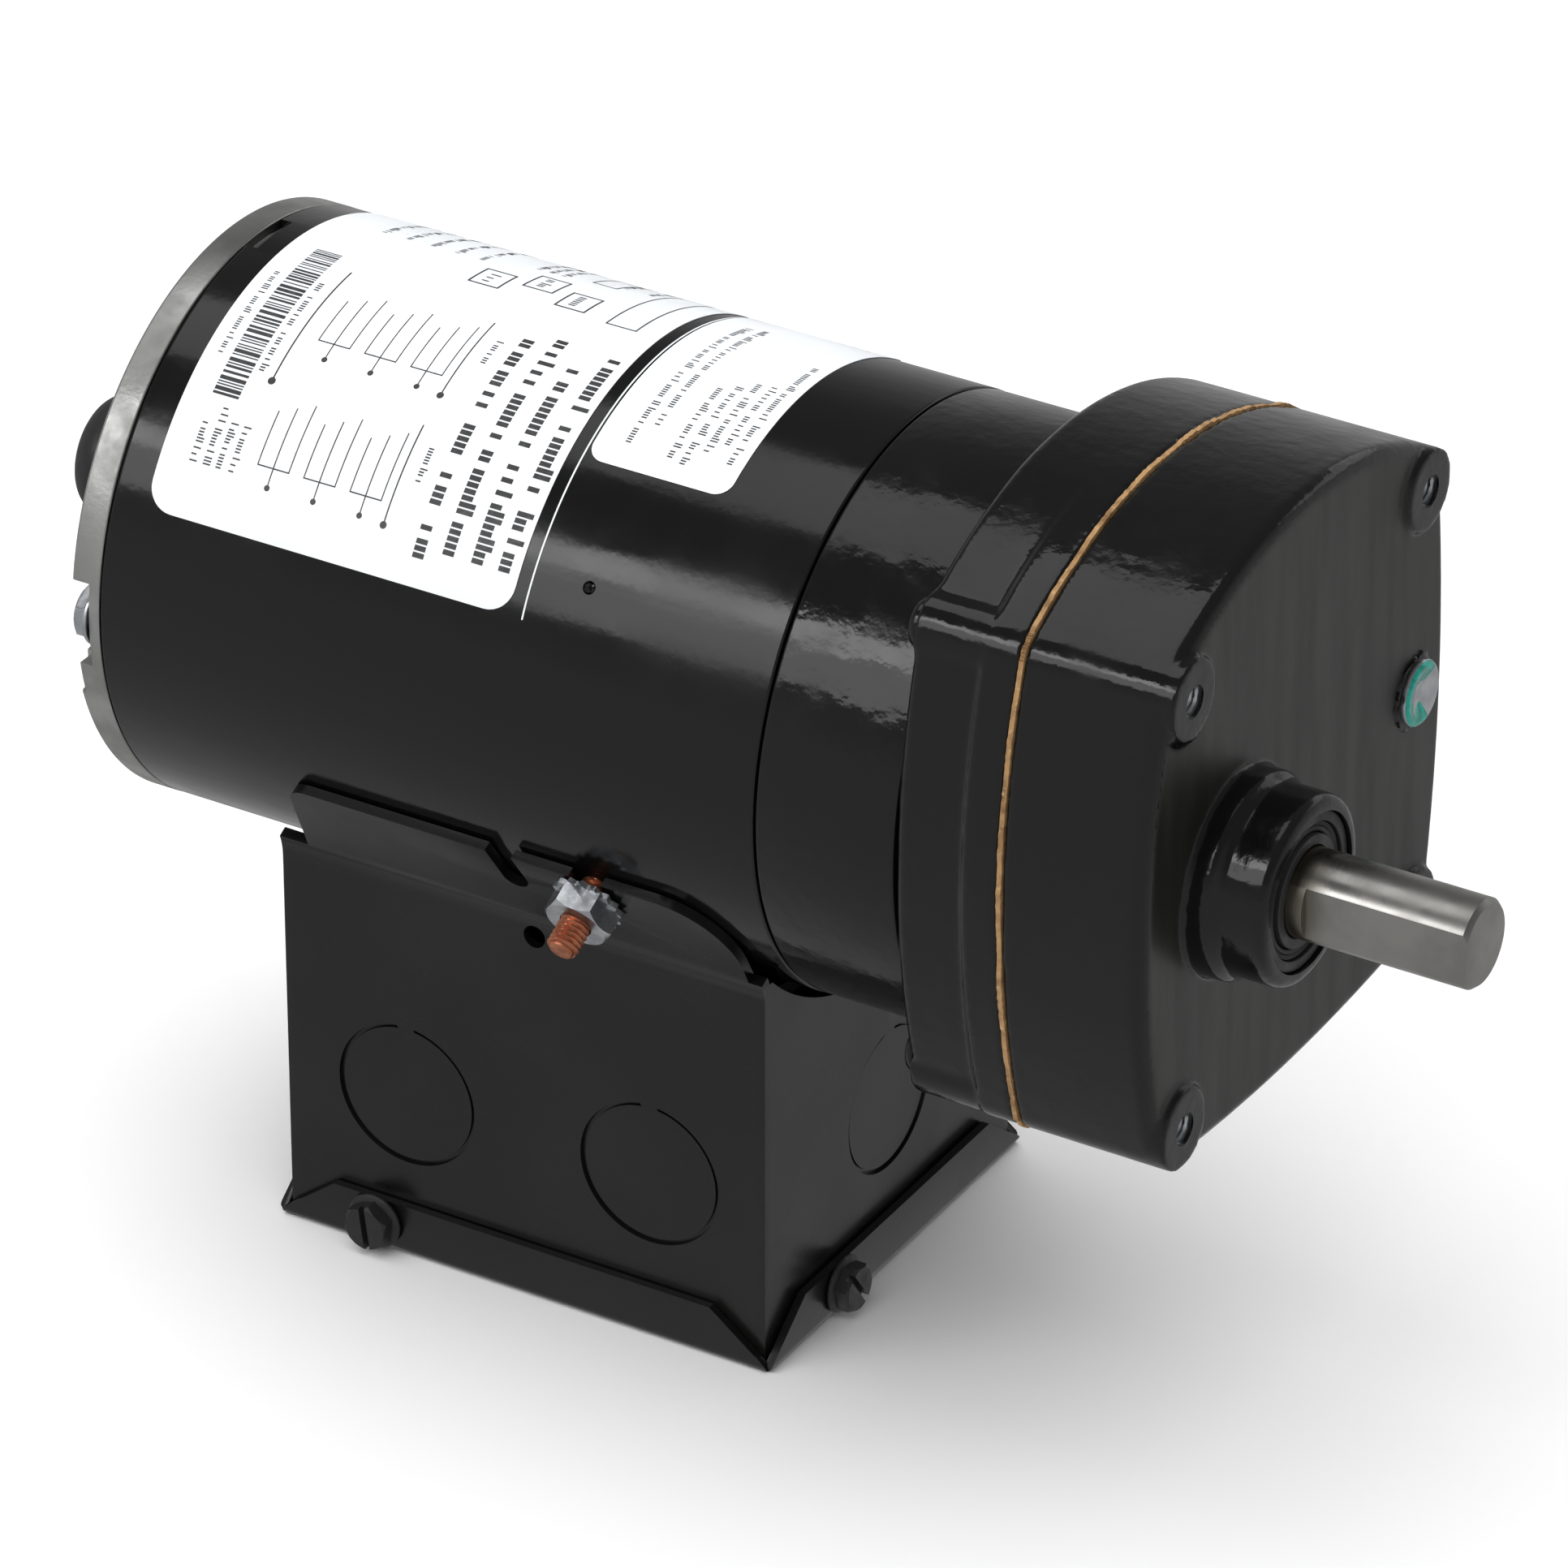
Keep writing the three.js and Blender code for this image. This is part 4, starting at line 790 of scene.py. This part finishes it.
def shaft_end_cap():
    lo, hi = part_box("rear_cap")
    r = (hi.z - lo.z) / 2
    profile = [(hi.x, r), (lo.x + 3 * MM, r - 0.3 * MM), (lo.x, r - 2.5 * MM), (lo.x, 0)]
    inside = [(lo.x + 2 * MM, 0), (lo.x + 2 * MM, r - 4 * MM), (hi.x, r - 2 * MM)]
    bm = turned(rounded(profile, 2.6 * MM, 8) + inside + [(hi.x, r)], 96)
    return finish(thing("shaft_end_cap", bm, "rubber"), "root", "black_rubber", "rear_cap")


# ---- labels ----
def label_sheet(name, x0, x1, start, end, corner, lift, thick, look):
    """A rounded rectangle wrapped on the shell; angles in radians from -Y over the top."""
    r = MOTOR_R + lift
    length = (end - start) * r
    bends = [corner * (1 - math.sin(k / 8 * math.pi / 2)) for k in range(9)]
    steps = 96
    rows = sorted({*bends, *(length - b for b in bends), *(length * k / steps for k in range(steps + 1))})
    rings = []
    for s in rows:
        into = max(0.0, corner - min(s, length - s))
        inset = corner - math.sqrt(max(0.0, corner ** 2 - into ** 2))
        angle = start + s / r
        c, q = -math.cos(angle), math.sin(angle)
        rings.append([(x, height * c, AXIS_Z + height * q) for x, height in (
            (x0 + inset, r), (x1 - inset, r), (x1 - inset, r + thick), (x0 + inset, r + thick))])
    bm = bmesh.new()
    fill(rings, bm)
    return finish(thing(name, bm, look), "root", "shell_paint", crease=40)


class Print:
    """Marks laid on a label: x runs forwards from its rear edge, s up from its lower edge, in mm."""

    def __init__(self, x0, start, lift):
        self.x0, self.start, self.r = x0, start, MOTOR_R + lift
        self.bm = bmesh.new()

    def at(self, x, s):
        angle = self.start + s * MM / self.r
        return Vector((self.x0 + x * MM, -self.r * math.cos(angle), AXIS_Z + self.r * math.sin(angle)))

    def bar(self, x, s, width, length):
        """A filled rectangle, width along x and length along s."""
        steps = max(1, math.ceil(length / 1.5))
        rows = [[self.bm.verts.new(self.at(q, s + length * k / steps)) for q in (x, x + width)]
                for k in range(steps + 1)]
        for a, b in zip(rows, rows[1:]):
            self.bm.faces.new((a[0], a[1], b[1], b[0]))

    def frame(self, x, s, width, length, line=0.25):
        self.bar(x, s, line, length)
        self.bar(x + width - line, s, line, length)
        self.bar(x, s, width, line)
        self.bar(x, s + length - line, width, line)

    def words(self, x, s, height, length, weight=0.5):
        """A row of blank word shapes that stands for print, reading down the curve."""
        here = s
        while here < s + length:
            for _ in range(random.randint(3, 8)):
                tall = height * random.choice((0.62, 0.62, 0.62, 0.9))
                self.bar(x, here, tall, height * 0.17 * weight * 2)
                if random.random() < 0.5:
                    self.bar(x, here + height * 0.34, tall, height * 0.17 * weight * 2)
                here += height * 0.68
                if here > s + length:
                    return
            here += height * 0.6

    def wiring(self, x, s, size):
        """A small schematic: leads that run into a common point."""
        for k in range(3):
            self.bar(x + k * size * 0.28, s, 0.18, size * (0.9 + 0.12 * k))
        self.bar(x, s, size * 0.56 + 0.18, 0.2)
        self.bar(x + size * 0.28, s - size * 0.3, 0.18, size * 0.3)
        self.dot(x + size * 0.28 + 0.09, s - size * 0.3, 0.45)

    def dot(self, x, s, r):
        centre = self.bm.verts.new(self.at(x, s))
        rim = [self.bm.verts.new(self.at(x + r * math.cos(TURN * k / 12), s + r * math.sin(TURN * k / 12)))
               for k in range(12)]
        for a, b in zip(rim, rim[1:] + rim[:1]):
            self.bm.faces.new((centre, a, b))

    def thicken(self):
        """Gives the marks a skin's thickness so that each one is a closed film."""
        made = bmesh.ops.extrude_face_region(self.bm, geom=self.bm.faces[:])
        moved = [v for v in made["geom"] if isinstance(v, bmesh.types.BMVert)]
        for v in moved:
            out = Vector((0, v.co.y, v.co.z - AXIS_Z)).normalized()
            v.co += out * 0.012 * MM
        return self.bm


def labels():
    x0, x1 = FACE_X - 161 * MM, FACE_X - 102.2 * MM
    start, end = math.radians(26), math.radians(154)
    label_sheet("rating_label", x0, x1, start, end, 4 * MM, 0.05 * MM, 0.09 * MM, "label")
    marks = Print(x0, start, 0.155 * MM)
    for k, (x, length) in enumerate(((55.5, 36), (51.2, 33), (46.6, 36), (42.2, 38))):
        marks.words(x, 5.5 if k < 3 else 4, 2.9, length, 0.75)
    for s in (6, 26):
        for x in (15, 22.5, 30):
            marks.wiring(x, s + 4, 9)
        marks.bar(36.5, s + 1, 0.22, 15)
        marks.dot(36.6, s + 1, 0.55)
        marks.words(39, s + 8, 1.3, 5)
    marks.bar(11.8, 22, 0.25, 22)
    marks.dot(11.9, 22, 0.6)
    for x, s, length in ((9.2, 23, 17), (6.8, 8, 9), (8.9, 8, 8), (11, 8, 8), (4.6, 8, 6)):
        marks.words(x, s, 1.35, length)
    here = 18.0
    while here < 47:
        width = random.choice((0.2, 0.2, 0.4, 0.6))
        marks.bar(4.2, here, 4.2, width)
        here += width + random.choice((0.22, 0.22, 0.45))
    marks.words(2.0, 24, 1.2, 16)
    for x, s, width, length in ((27, 50, 5, 5.5), (34, 53, 5, 5.5), (41, 50, 5, 5.5)):
        marks.frame(x, s, width, length, 0.3)
        marks.words(x + 1.6, s + 1.2, 1.8, 3)
    for x, s, width, length in ((40, 62, 4, 8), (50, 49, 5, 22), (46, 74, 4, 12), (36, 76, 3.5, 10),
                                (52, 76, 4, 12)):
        marks.frame(x, s, width, length, 0.25)
    for x in (31.6, 33.6, 35.6):
        marks.words(x, 61, 1.2, 15)
    for x in (8, 12, 16, 20, 24, 44, 48):
        marks.words(x, 64 if x > 30 else 58, 1.2, 18)
    finish(thing("rating_label_print", marks.thicken(), "ink"), "root", "shell_paint")

    # The clear laminate film itself is left out. Its edge is only a thin strip of light label paper, a painted
    # highlight that stands for the glint along that edge.
    edge = x1 + 2.1 * MM
    label_sheet("laminate_edge", edge - 0.12 * MM, edge + 0.12 * MM, start, end,
                0.1 * MM, 0.02 * MM, 0.05 * MM, "label")

    small_start, small_end = math.radians(58), math.radians(126)
    sx0, sx1 = FACE_X - 99.6 * MM, FACE_X - 77.4 * MM
    label_sheet("lead_colour_label", sx0, sx1, small_start, small_end,
                2.5 * MM, 0.05 * MM, 0.09 * MM, "label")
    small = Print(sx0, small_start, 0.155 * MM)
    for k, x in enumerate((4.2, 6.6, 11.0, 13.2, 15.4, 17.6, 19.6)):
        small.words(x, (4, 8, 3.5, 3, 6, 8, 5)[k], 1.35, (34, 30, 14, 16, 15, 13, 24)[k])
    finish(thing("lead_label_print", small.thicken(), "ink"), "root", "shell_paint")


# ---- conduit box ----
def flange_points(side):
    """The (y, z) section of a side wall that leans out along the shell."""
    touch = MOTOR_R + 0.25 * MM
    c, s = math.cos(EAR_ANGLE), math.sin(EAR_ANGLE)

    def on(r, t):
        return Vector((r * c - t * s, AXIS_Z - r * s - t * c))

    outer, inner = touch + SHEET, touch
    bend_out = on(outer, (outer * c - BOX_HALF_Y) / s)
    bend_in = on(inner, (inner * c - BOX_HALF_Y + SHEET) / s)
    foot_out, foot_in = Vector((BOX_HALF_Y, BOX_LOW.z)), Vector((BOX_HALF_Y - SHEET, BOX_LOW.z))
    top_out, top_in = on(outer, -EAR_TOP * MM), on(inner, -EAR_TOP * MM)
    points = [foot_out, *curve(foot_out, bend_out, top_out, 2.4 * MM), top_out, top_in,
              *curve(top_in, bend_in, foot_in, 1.2 * MM), foot_in]
    return [(side * p.x, p.y) for p in points]


def curve(before, corner, after, reach, steps=6):
    a = corner + (before - corner).normalized() * reach
    b = corner + (after - corner).normalized() * reach
    return [a.lerp(corner, k / steps).lerp(corner.lerp(b, k / steps), k / steps) for k in range(steps + 1)]


def through_ear(side, outline):
    """A tool that cuts square through the flange, from points in x and height up it from where it touches."""
    c, sn = math.cos(EAR_ANGLE), math.sin(EAR_ANGLE)
    bm = bmesh.new()
    fill([[(x * MM, side * (r * c + u * MM * sn), AXIS_Z - r * sn + u * MM * c) for x, u in outline]
          for r in (MOTOR_R - MM, MOTOR_R + 5 * MM)], bm)
    bmesh.ops.recalc_face_normals(bm, faces=bm.faces)
    return bm


def arc(cx, cy, r, start, end, steps=10):
    """Points on a circle between two angles in degrees."""
    angles = [math.radians(start + (end - start) * k / steps) for k in range(steps + 1)]
    return [(cx + r * math.cos(a), cy + r * math.sin(a)) for a in angles]


def ear_rear():
    """What the flange leaves free behind its rear corner."""
    above, r = EAR_TOP + 2, EAR_REAR_ROUND
    return [(-EAR_PAST_END, EAR_FOOT), (EAR_REAR - 1, EAR_FOOT), *arc(EAR_REAR + r, EAR_TOP - r, r, 180, 90),
            (EAR_REAR + r, above), (-EAR_PAST_END, above)]


def ear_front():
    """What the flange leaves free in front of its rounded front corner."""
    above, r = EAR_TOP + 2, EAR_FRONT_ROUND
    return [(EAR_PAST_END, EAR_FOOT), (EAR_FRONT, EAR_FOOT), *arc(EAR_FRONT - r, EAR_TOP - r, r, 0, 90, 16),
            (EAR_FRONT - r, above), (EAR_PAST_END, above)]


def ear_slot(x, half_width, bottom, reach=0.0):
    """An open slot from the flange's edge to a round end, which may lie to one side of its mouth."""
    above = EAR_TOP + 1
    return [(x + half_width, above), (x - half_width, above), *arc(x + reach, bottom, half_width, 180, 360)]


def knockout_groove(centre, outward, wall):
    """A punched circle, left joined by a short tab at the top."""
    up = Vector((0, 0, 1))
    across = outward.cross(up)
    bm = bmesh.new()
    rings, steps, gap = [], 96, 0.12
    for k in range(steps + 1):
        angle = math.pi / 2 + gap + (TURN - 2 * gap) * k / steps
        spoke = across * math.cos(angle) + up * math.sin(angle)
        rings.append([centre + outward * (wall + h * MM) + spoke * (KNOCKOUT_R + q * MM)
                      for q, h in ((-0.6, 0.3), (-0.45, -0.7), (0.0, -0.7), (0.2, 0.3))])
    fill(rings, bm)
    return bm


def conduit_box():
    """A folded box: two sides that lean out along the shell and two ends that clear it."""
    x0, x1 = BOX_LOW.x, BOX_HIGH.x
    box = thing("wiring_box", extruded(flange_points(1), x0, x1), "sheet")
    start = math.asin((AXIS_Z - BEND_Z) / SADDLE_R)
    saddle = [(SADDLE_R * math.cos(a), AXIS_Z + SADDLE_R * math.sin(a))
              for a in (-start - (math.pi - 2 * start) * k / 40 for k in range(41))]
    end_outline = [(-BOX_HALF_Y, BOX_LOW.z), (BOX_HALF_Y, BOX_LOW.z), (BOX_HALF_Y, BEND_Z), *saddle,
                   (-BOX_HALF_Y, BEND_Z)]
    cut(box, extruded(flange_points(-1), x0, x1), extruded(end_outline, x0, x0 + SHEET),
        extruded(end_outline, x1 - SHEET, x1), operation="UNION")
    bm = bmesh.new()
    bm.from_mesh(box.data)
    folds = [e for e in bm.edges if all(abs(abs(v.co.x) - x1) < 0.05 * MM and abs(abs(v.co.y) - BOX_HALF_Y)
                                        < 0.05 * MM and v.co.z < BEND_Z + 0.1 * MM for v in e.verts)]
    bmesh.ops.bevel(bm, geom=folds, offset=1.5 * MM, segments=6, affect="EDGES", profile=0.5,
                    clamp_overlap=True)
    bm.to_mesh(box.data)

    for side in (-1, 1):
        cut(box, through_ear(side, ear_rear()), through_ear(side, ear_front()),
            through_ear(side, ear_slot(HOOK_X, HOOK_HALF_WIDTH, HOOK_BOTTOM, HOOK_REACH)))
    ground_x = (low("ground_nut").x + high("ground_nut").x) / 2 / MM
    cut(box, through_ear(-1, ear_slot(ground_x, GROUND_SLOT_HALF_WIDTH, 0)))
    hole = turned(rod(0, 8 * MM, 1.75 * MM), 40, 0, 0)
    cut(box, aimed(hole, Vector((2.2 * MM, -BOX_HALF_Y - 4 * MM, AXIS_Z - 34.2 * MM)), (0, 1, 0)))
    soften(box, 0.3 * MM, 3, 40)

    places = [(mounts[f"knockout_side_{i}"], BOX_HALF_Y) for i in range(1, 5)]
    for mount, wall in [*places, (mounts["knockout_front"], x1)]:
        outward = Vector(mount["axis"])
        centre = Vector(mount["pos_m"])
        slug = turned(rod(-0.3 * MM, MM, KNOCKOUT_R - 0.2 * MM), 96, 0, 0)
        cut(box, aimed(slug, centre, outward), knockout_groove(centre - outward * wall, outward, wall))
    return finish(box, "root", "box_paint", "conduit_box")


def cover_tray():
    """The cover: a floor with four flanges, each one mitred at its ends."""
    half_x, half_y = COVER_HIGH.x, COVER_HIGH.y
    thick, height, corner = 1.2 * MM, COVER_HIGH.z, 9 * MM
    bend = 1.4 * MM

    def flange(half, reach):
        section = [(reach, bend), (reach, height), (reach - thick, height), (reach - thick, thick)]
        bm = bmesh.new()
        fold = [(reach - bend + bend * math.sin(a), bend - bend * math.cos(a))
               for a in (math.pi / 2 * k / 6 for k in range(7))]
        profile = [(reach - 4 * MM, 0), *fold, *section[1:], (reach - 4 * MM, thick)]
        rings = []
        for end in (-1, 1):
            ring = []
            for out, z in profile:
                trim = corner * max(0.0, (z - thick)) / (height - thick)
                ring.append((out, end * (half - trim - 0.8 * MM), z))
            rings.append(ring)
        fill(rings, bm)
        return bm

    floor = block((-half_x + 1.3 * MM, -half_y + 1.3 * MM, 0), (half_x - 1.3 * MM, half_y - 1.3 * MM, thick))
    tray = thing("box_cover", floor, "sheet")
    for turn, half, reach in ((0, half_y, half_x), (2, half_y, half_x),
                              (1, half_x, half_y), (3, half_x, half_y)):
        part = flange(half, reach)
        quarter = Matrix.Rotation(turn * math.pi / 2, 3, "Z")
        bmesh.ops.rotate(part, cent=(0, 0, 0), matrix=quarter, verts=part.verts)
        cut(tray, part, operation="UNION")
    soften(tray, 0.3 * MM, 3, 40)
    return finish(tray, "root", "box_paint", "conduit_cover")


def cover_screws():
    """Slotted hex washer-head screws, one on each flange of the cover."""
    for i in range(1, 5):
        lo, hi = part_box(f"cover_screw_{i}")
        centre = (lo + hi) / 2
        size = hi - lo
        axis = 0 if size.x > size.y else 1
        outward = Vector((0, 0, 0))
        outward[axis] = 1 if centre[axis] > 0 else -1
        tip = hi[axis] if centre[axis] > 0 else lo[axis]
        seat = Vector(centre)
        seat[axis] = tip - outward[axis] * 3 * MM
        flared = [(0, 0), (0, 4.3 * MM), (0.5 * MM, 4.3 * MM), (0.9 * MM, 3.4 * MM), (0.9 * MM, 0)]
        washer = turned(rounded(flared, 0.25 * MM), 64, 0, 0)
        head = hex_prism(0.3 * MM, 3 * MM, 7.4 * MM, 0.6 * MM, 0.4 * i)
        shank = threaded(-7.5 * MM, 0.4 * MM, 1.6 * MM, 0.3 * MM, 0.8 * MM)
        obj = thing(f"hex_screw_{i}", head, "oxide")
        cut(obj, washer, shank, operation="UNION")
        slot_tool = block((1.9 * MM, -5 * MM, -0.5 * MM), (4 * MM, 5 * MM, 0.5 * MM))
        driven = Matrix.Rotation(1.2 + 0.5 * i, 3, "X")
        bmesh.ops.rotate(slot_tool, cent=(0, 0, 0), matrix=driven, verts=slot_tool.verts)
        cut(obj, slot_tool)
        point(obj, seat, outward)
        finish(obj, "root", "black_screw", f"cover_screw_{i}", crease=30)


# ---- ground stud ----
def ground_stud():
    out = Vector((0, -math.cos(EAR_ANGLE), -math.sin(EAR_ANGLE)))
    x = (low("ground_screw").x + high("ground_screw").x) / 2
    origin = Vector((x, 0, AXIS_Z))
    root = origin + out * STUD_START
    core = threaded(0, 11.6 * MM, 2.15 * MM, 0.42 * MM, 0.79 * MM, segments=40)
    taper = [(11.4 * MM, 0), (11.4 * MM, 1.95 * MM), (12.2 * MM, 1.75 * MM), (12.2 * MM, 0)]
    tip = turned(rounded(taper, 0.4 * MM), 40, 0, 0)
    stud = thing("ground_stud", joined(aimed(core, root, out), aimed(tip, root, out)), "copper")
    finish(stud, "root", "copper", "ground_screw", crease=25)

    seat = MOTOR_R + 2.3 * MM
    nut = thing("keps_nut", hex_prism(0.5 * MM, 4.2 * MM, 10.4 * MM, 0.7 * MM, 0.35), "zinc")
    teeth = bmesh.new()
    rings = []
    for h in (0, 0.4, 0.8):  # the washer's teeth lean at its middle
        ring = []
        for i in range(80):
            tooth = 0.5 + 0.5 * math.cos(TURN * i / 5)
            r = (4.6 + 0.75 * tooth) * MM
            lean = 0.15 * math.sin(TURN * i / 5) if h == 0.4 else 0
            ring.append(((h + lean) * MM, r * math.cos(TURN * i / 80), r * math.sin(TURN * i / 80)))
        rings.append(ring)
    fill(rings, teeth)
    cut(nut, teeth, operation="UNION")
    cut(nut, turned(rod(-MM, 6 * MM, 2.4 * MM), 40, 0, 0))
    point(nut, origin + out * seat, out)
    finish(nut, "root", "zinc_plate", "ground_nut", crease=30)


# ---- everything else keeps its CAD shape ----
def dress_cad_nodes():
    slots = {s["node"]: s["material_slot"] for s in frame["record"]["subparts"]}
    for node, obj in frame["nodes"].items():
        obj.data.materials.clear()
        obj.data.materials.append(LOOKS[SLOT_LOOKS[slots[node]]])
        obj.data.shade_smooth()
        obj.data.set_sharp_from_angle(angle=math.radians(30))


# ---- studio ----
def studio():
    """White paper lit evenly from above; the gloss mirrors a dim room with long softboxes in it."""
    scene = bpy.context.scene
    scene.view_settings.view_transform = "Standard"
    scene.world = world = bpy.data.worlds.new("studio")
    world.use_nodes = True
    nodes, links = world.node_tree.nodes, world.node_tree.links
    split = nodes.new("ShaderNodeSeparateXYZ")
    links.new(nodes.new("ShaderNodeTexCoord").outputs["Generated"], split.inputs["Vector"])
    dimmer = nodes.new("ShaderNodeMapRange")
    for key, number in zip(("From Min", "From Max", "To Min", "To Max"), (0.05, 0.6, 0.42, 0.16)):
        dimmer.inputs[key].default_value = number
    links.new(split.outputs["Z"], dimmer.inputs["Value"])
    links.new(dimmer.outputs["Result"], nodes["Background"].inputs["Strength"])
    nodes["Background"].inputs["Color"].default_value = (1, 1, 1, 1)

    bm = bmesh.new()
    bmesh.ops.create_grid(bm, x_segments=2, y_segments=2, size=6)
    floor = thing("floor", bm)
    paper = Paint("paper", (0.9, 0.9, 0.9), 0.7)
    paper.roughen(paper.noise(8, 3), 0.65, 0.75)
    floor.data.materials.append(paper.mat)
    floor.visible_glossy = False

    def lamp(name, place, aim, size, radiance, mirrored=True):
        """A rectangular softbox; one that isn't mirrored only lights matt surfaces."""
        light = bpy.data.lights.new(name, "AREA")
        light.shape, light.size, light.size_y = "RECTANGLE", *size
        light.energy = math.pi * size[0] * size[1] * radiance
        obj = bpy.data.objects.new(name, light)
        obj.location = place
        obj.rotation_euler = (Vector(aim) - Vector(place)).to_track_quat("-Z", "Y").to_euler()
        obj.visible_glossy = mirrored
        scene.collection.objects.link(obj)

    lamp("ceiling", (0, 0.2, 1.8), (0, 0, 0), (3.2, 3.2), 1.9, mirrored=False)
    lamp("fill", (1.0, -2.2, 1.3), (0, 0, 0.08), (1.8, 1.2), 1.3, mirrored=False)
    lamp("long_box", (-0.48, -0.83, 0.72), (-0.48, 0, 0.09), (1.0, 0.5), 1.9)
    lamp("bright_edge", (-0.48, -0.74, 0.83), (-0.48, 0, 0.09), (1.0, 0.16), 2.4)
    lamp("overhead", (-0.5, 0.05, 1.3), (-0.5, 0.05, 0), (1.1, 0.62), 1.1)
    lamp("far_glow", (0.5, 1.6, 0.75), (0.1, 0, 0.1), (1.6, 0.5), 0.5)


def camera():
    azimuth, elevation, distance = math.radians(30.8), math.radians(30.6), 1.43
    target = Vector((0.022, 0, 0.072))
    back = Vector((math.sin(azimuth) * math.cos(elevation), -math.cos(azimuth) * math.cos(elevation),
                   math.sin(elevation)))
    data = bpy.data.cameras.new("camera")
    data.lens, data.sensor_width = 236.5, 36
    data.clip_end = 20
    obj = bpy.data.objects.new("camera", data)
    obj.location = target + back * distance
    obj.rotation_euler = (-back).to_track_quat("-Z", "Y").to_euler()
    bpy.context.scene.collection.objects.link(obj)
    bpy.context.scene.camera = obj


camera()
studio()
dress_cad_nodes()
front_casting()
rear_casting()
fibre_gasket()
round_head_screws()
tapped_threads()
filler_plug()
output_shaft()
output_bearing()
motor_shell()
front_shield()
rear_shield()
through_bolts()
shaft_end_cap()
labels()
conduit_box()
cover_tray()
cover_screws()
ground_stud()
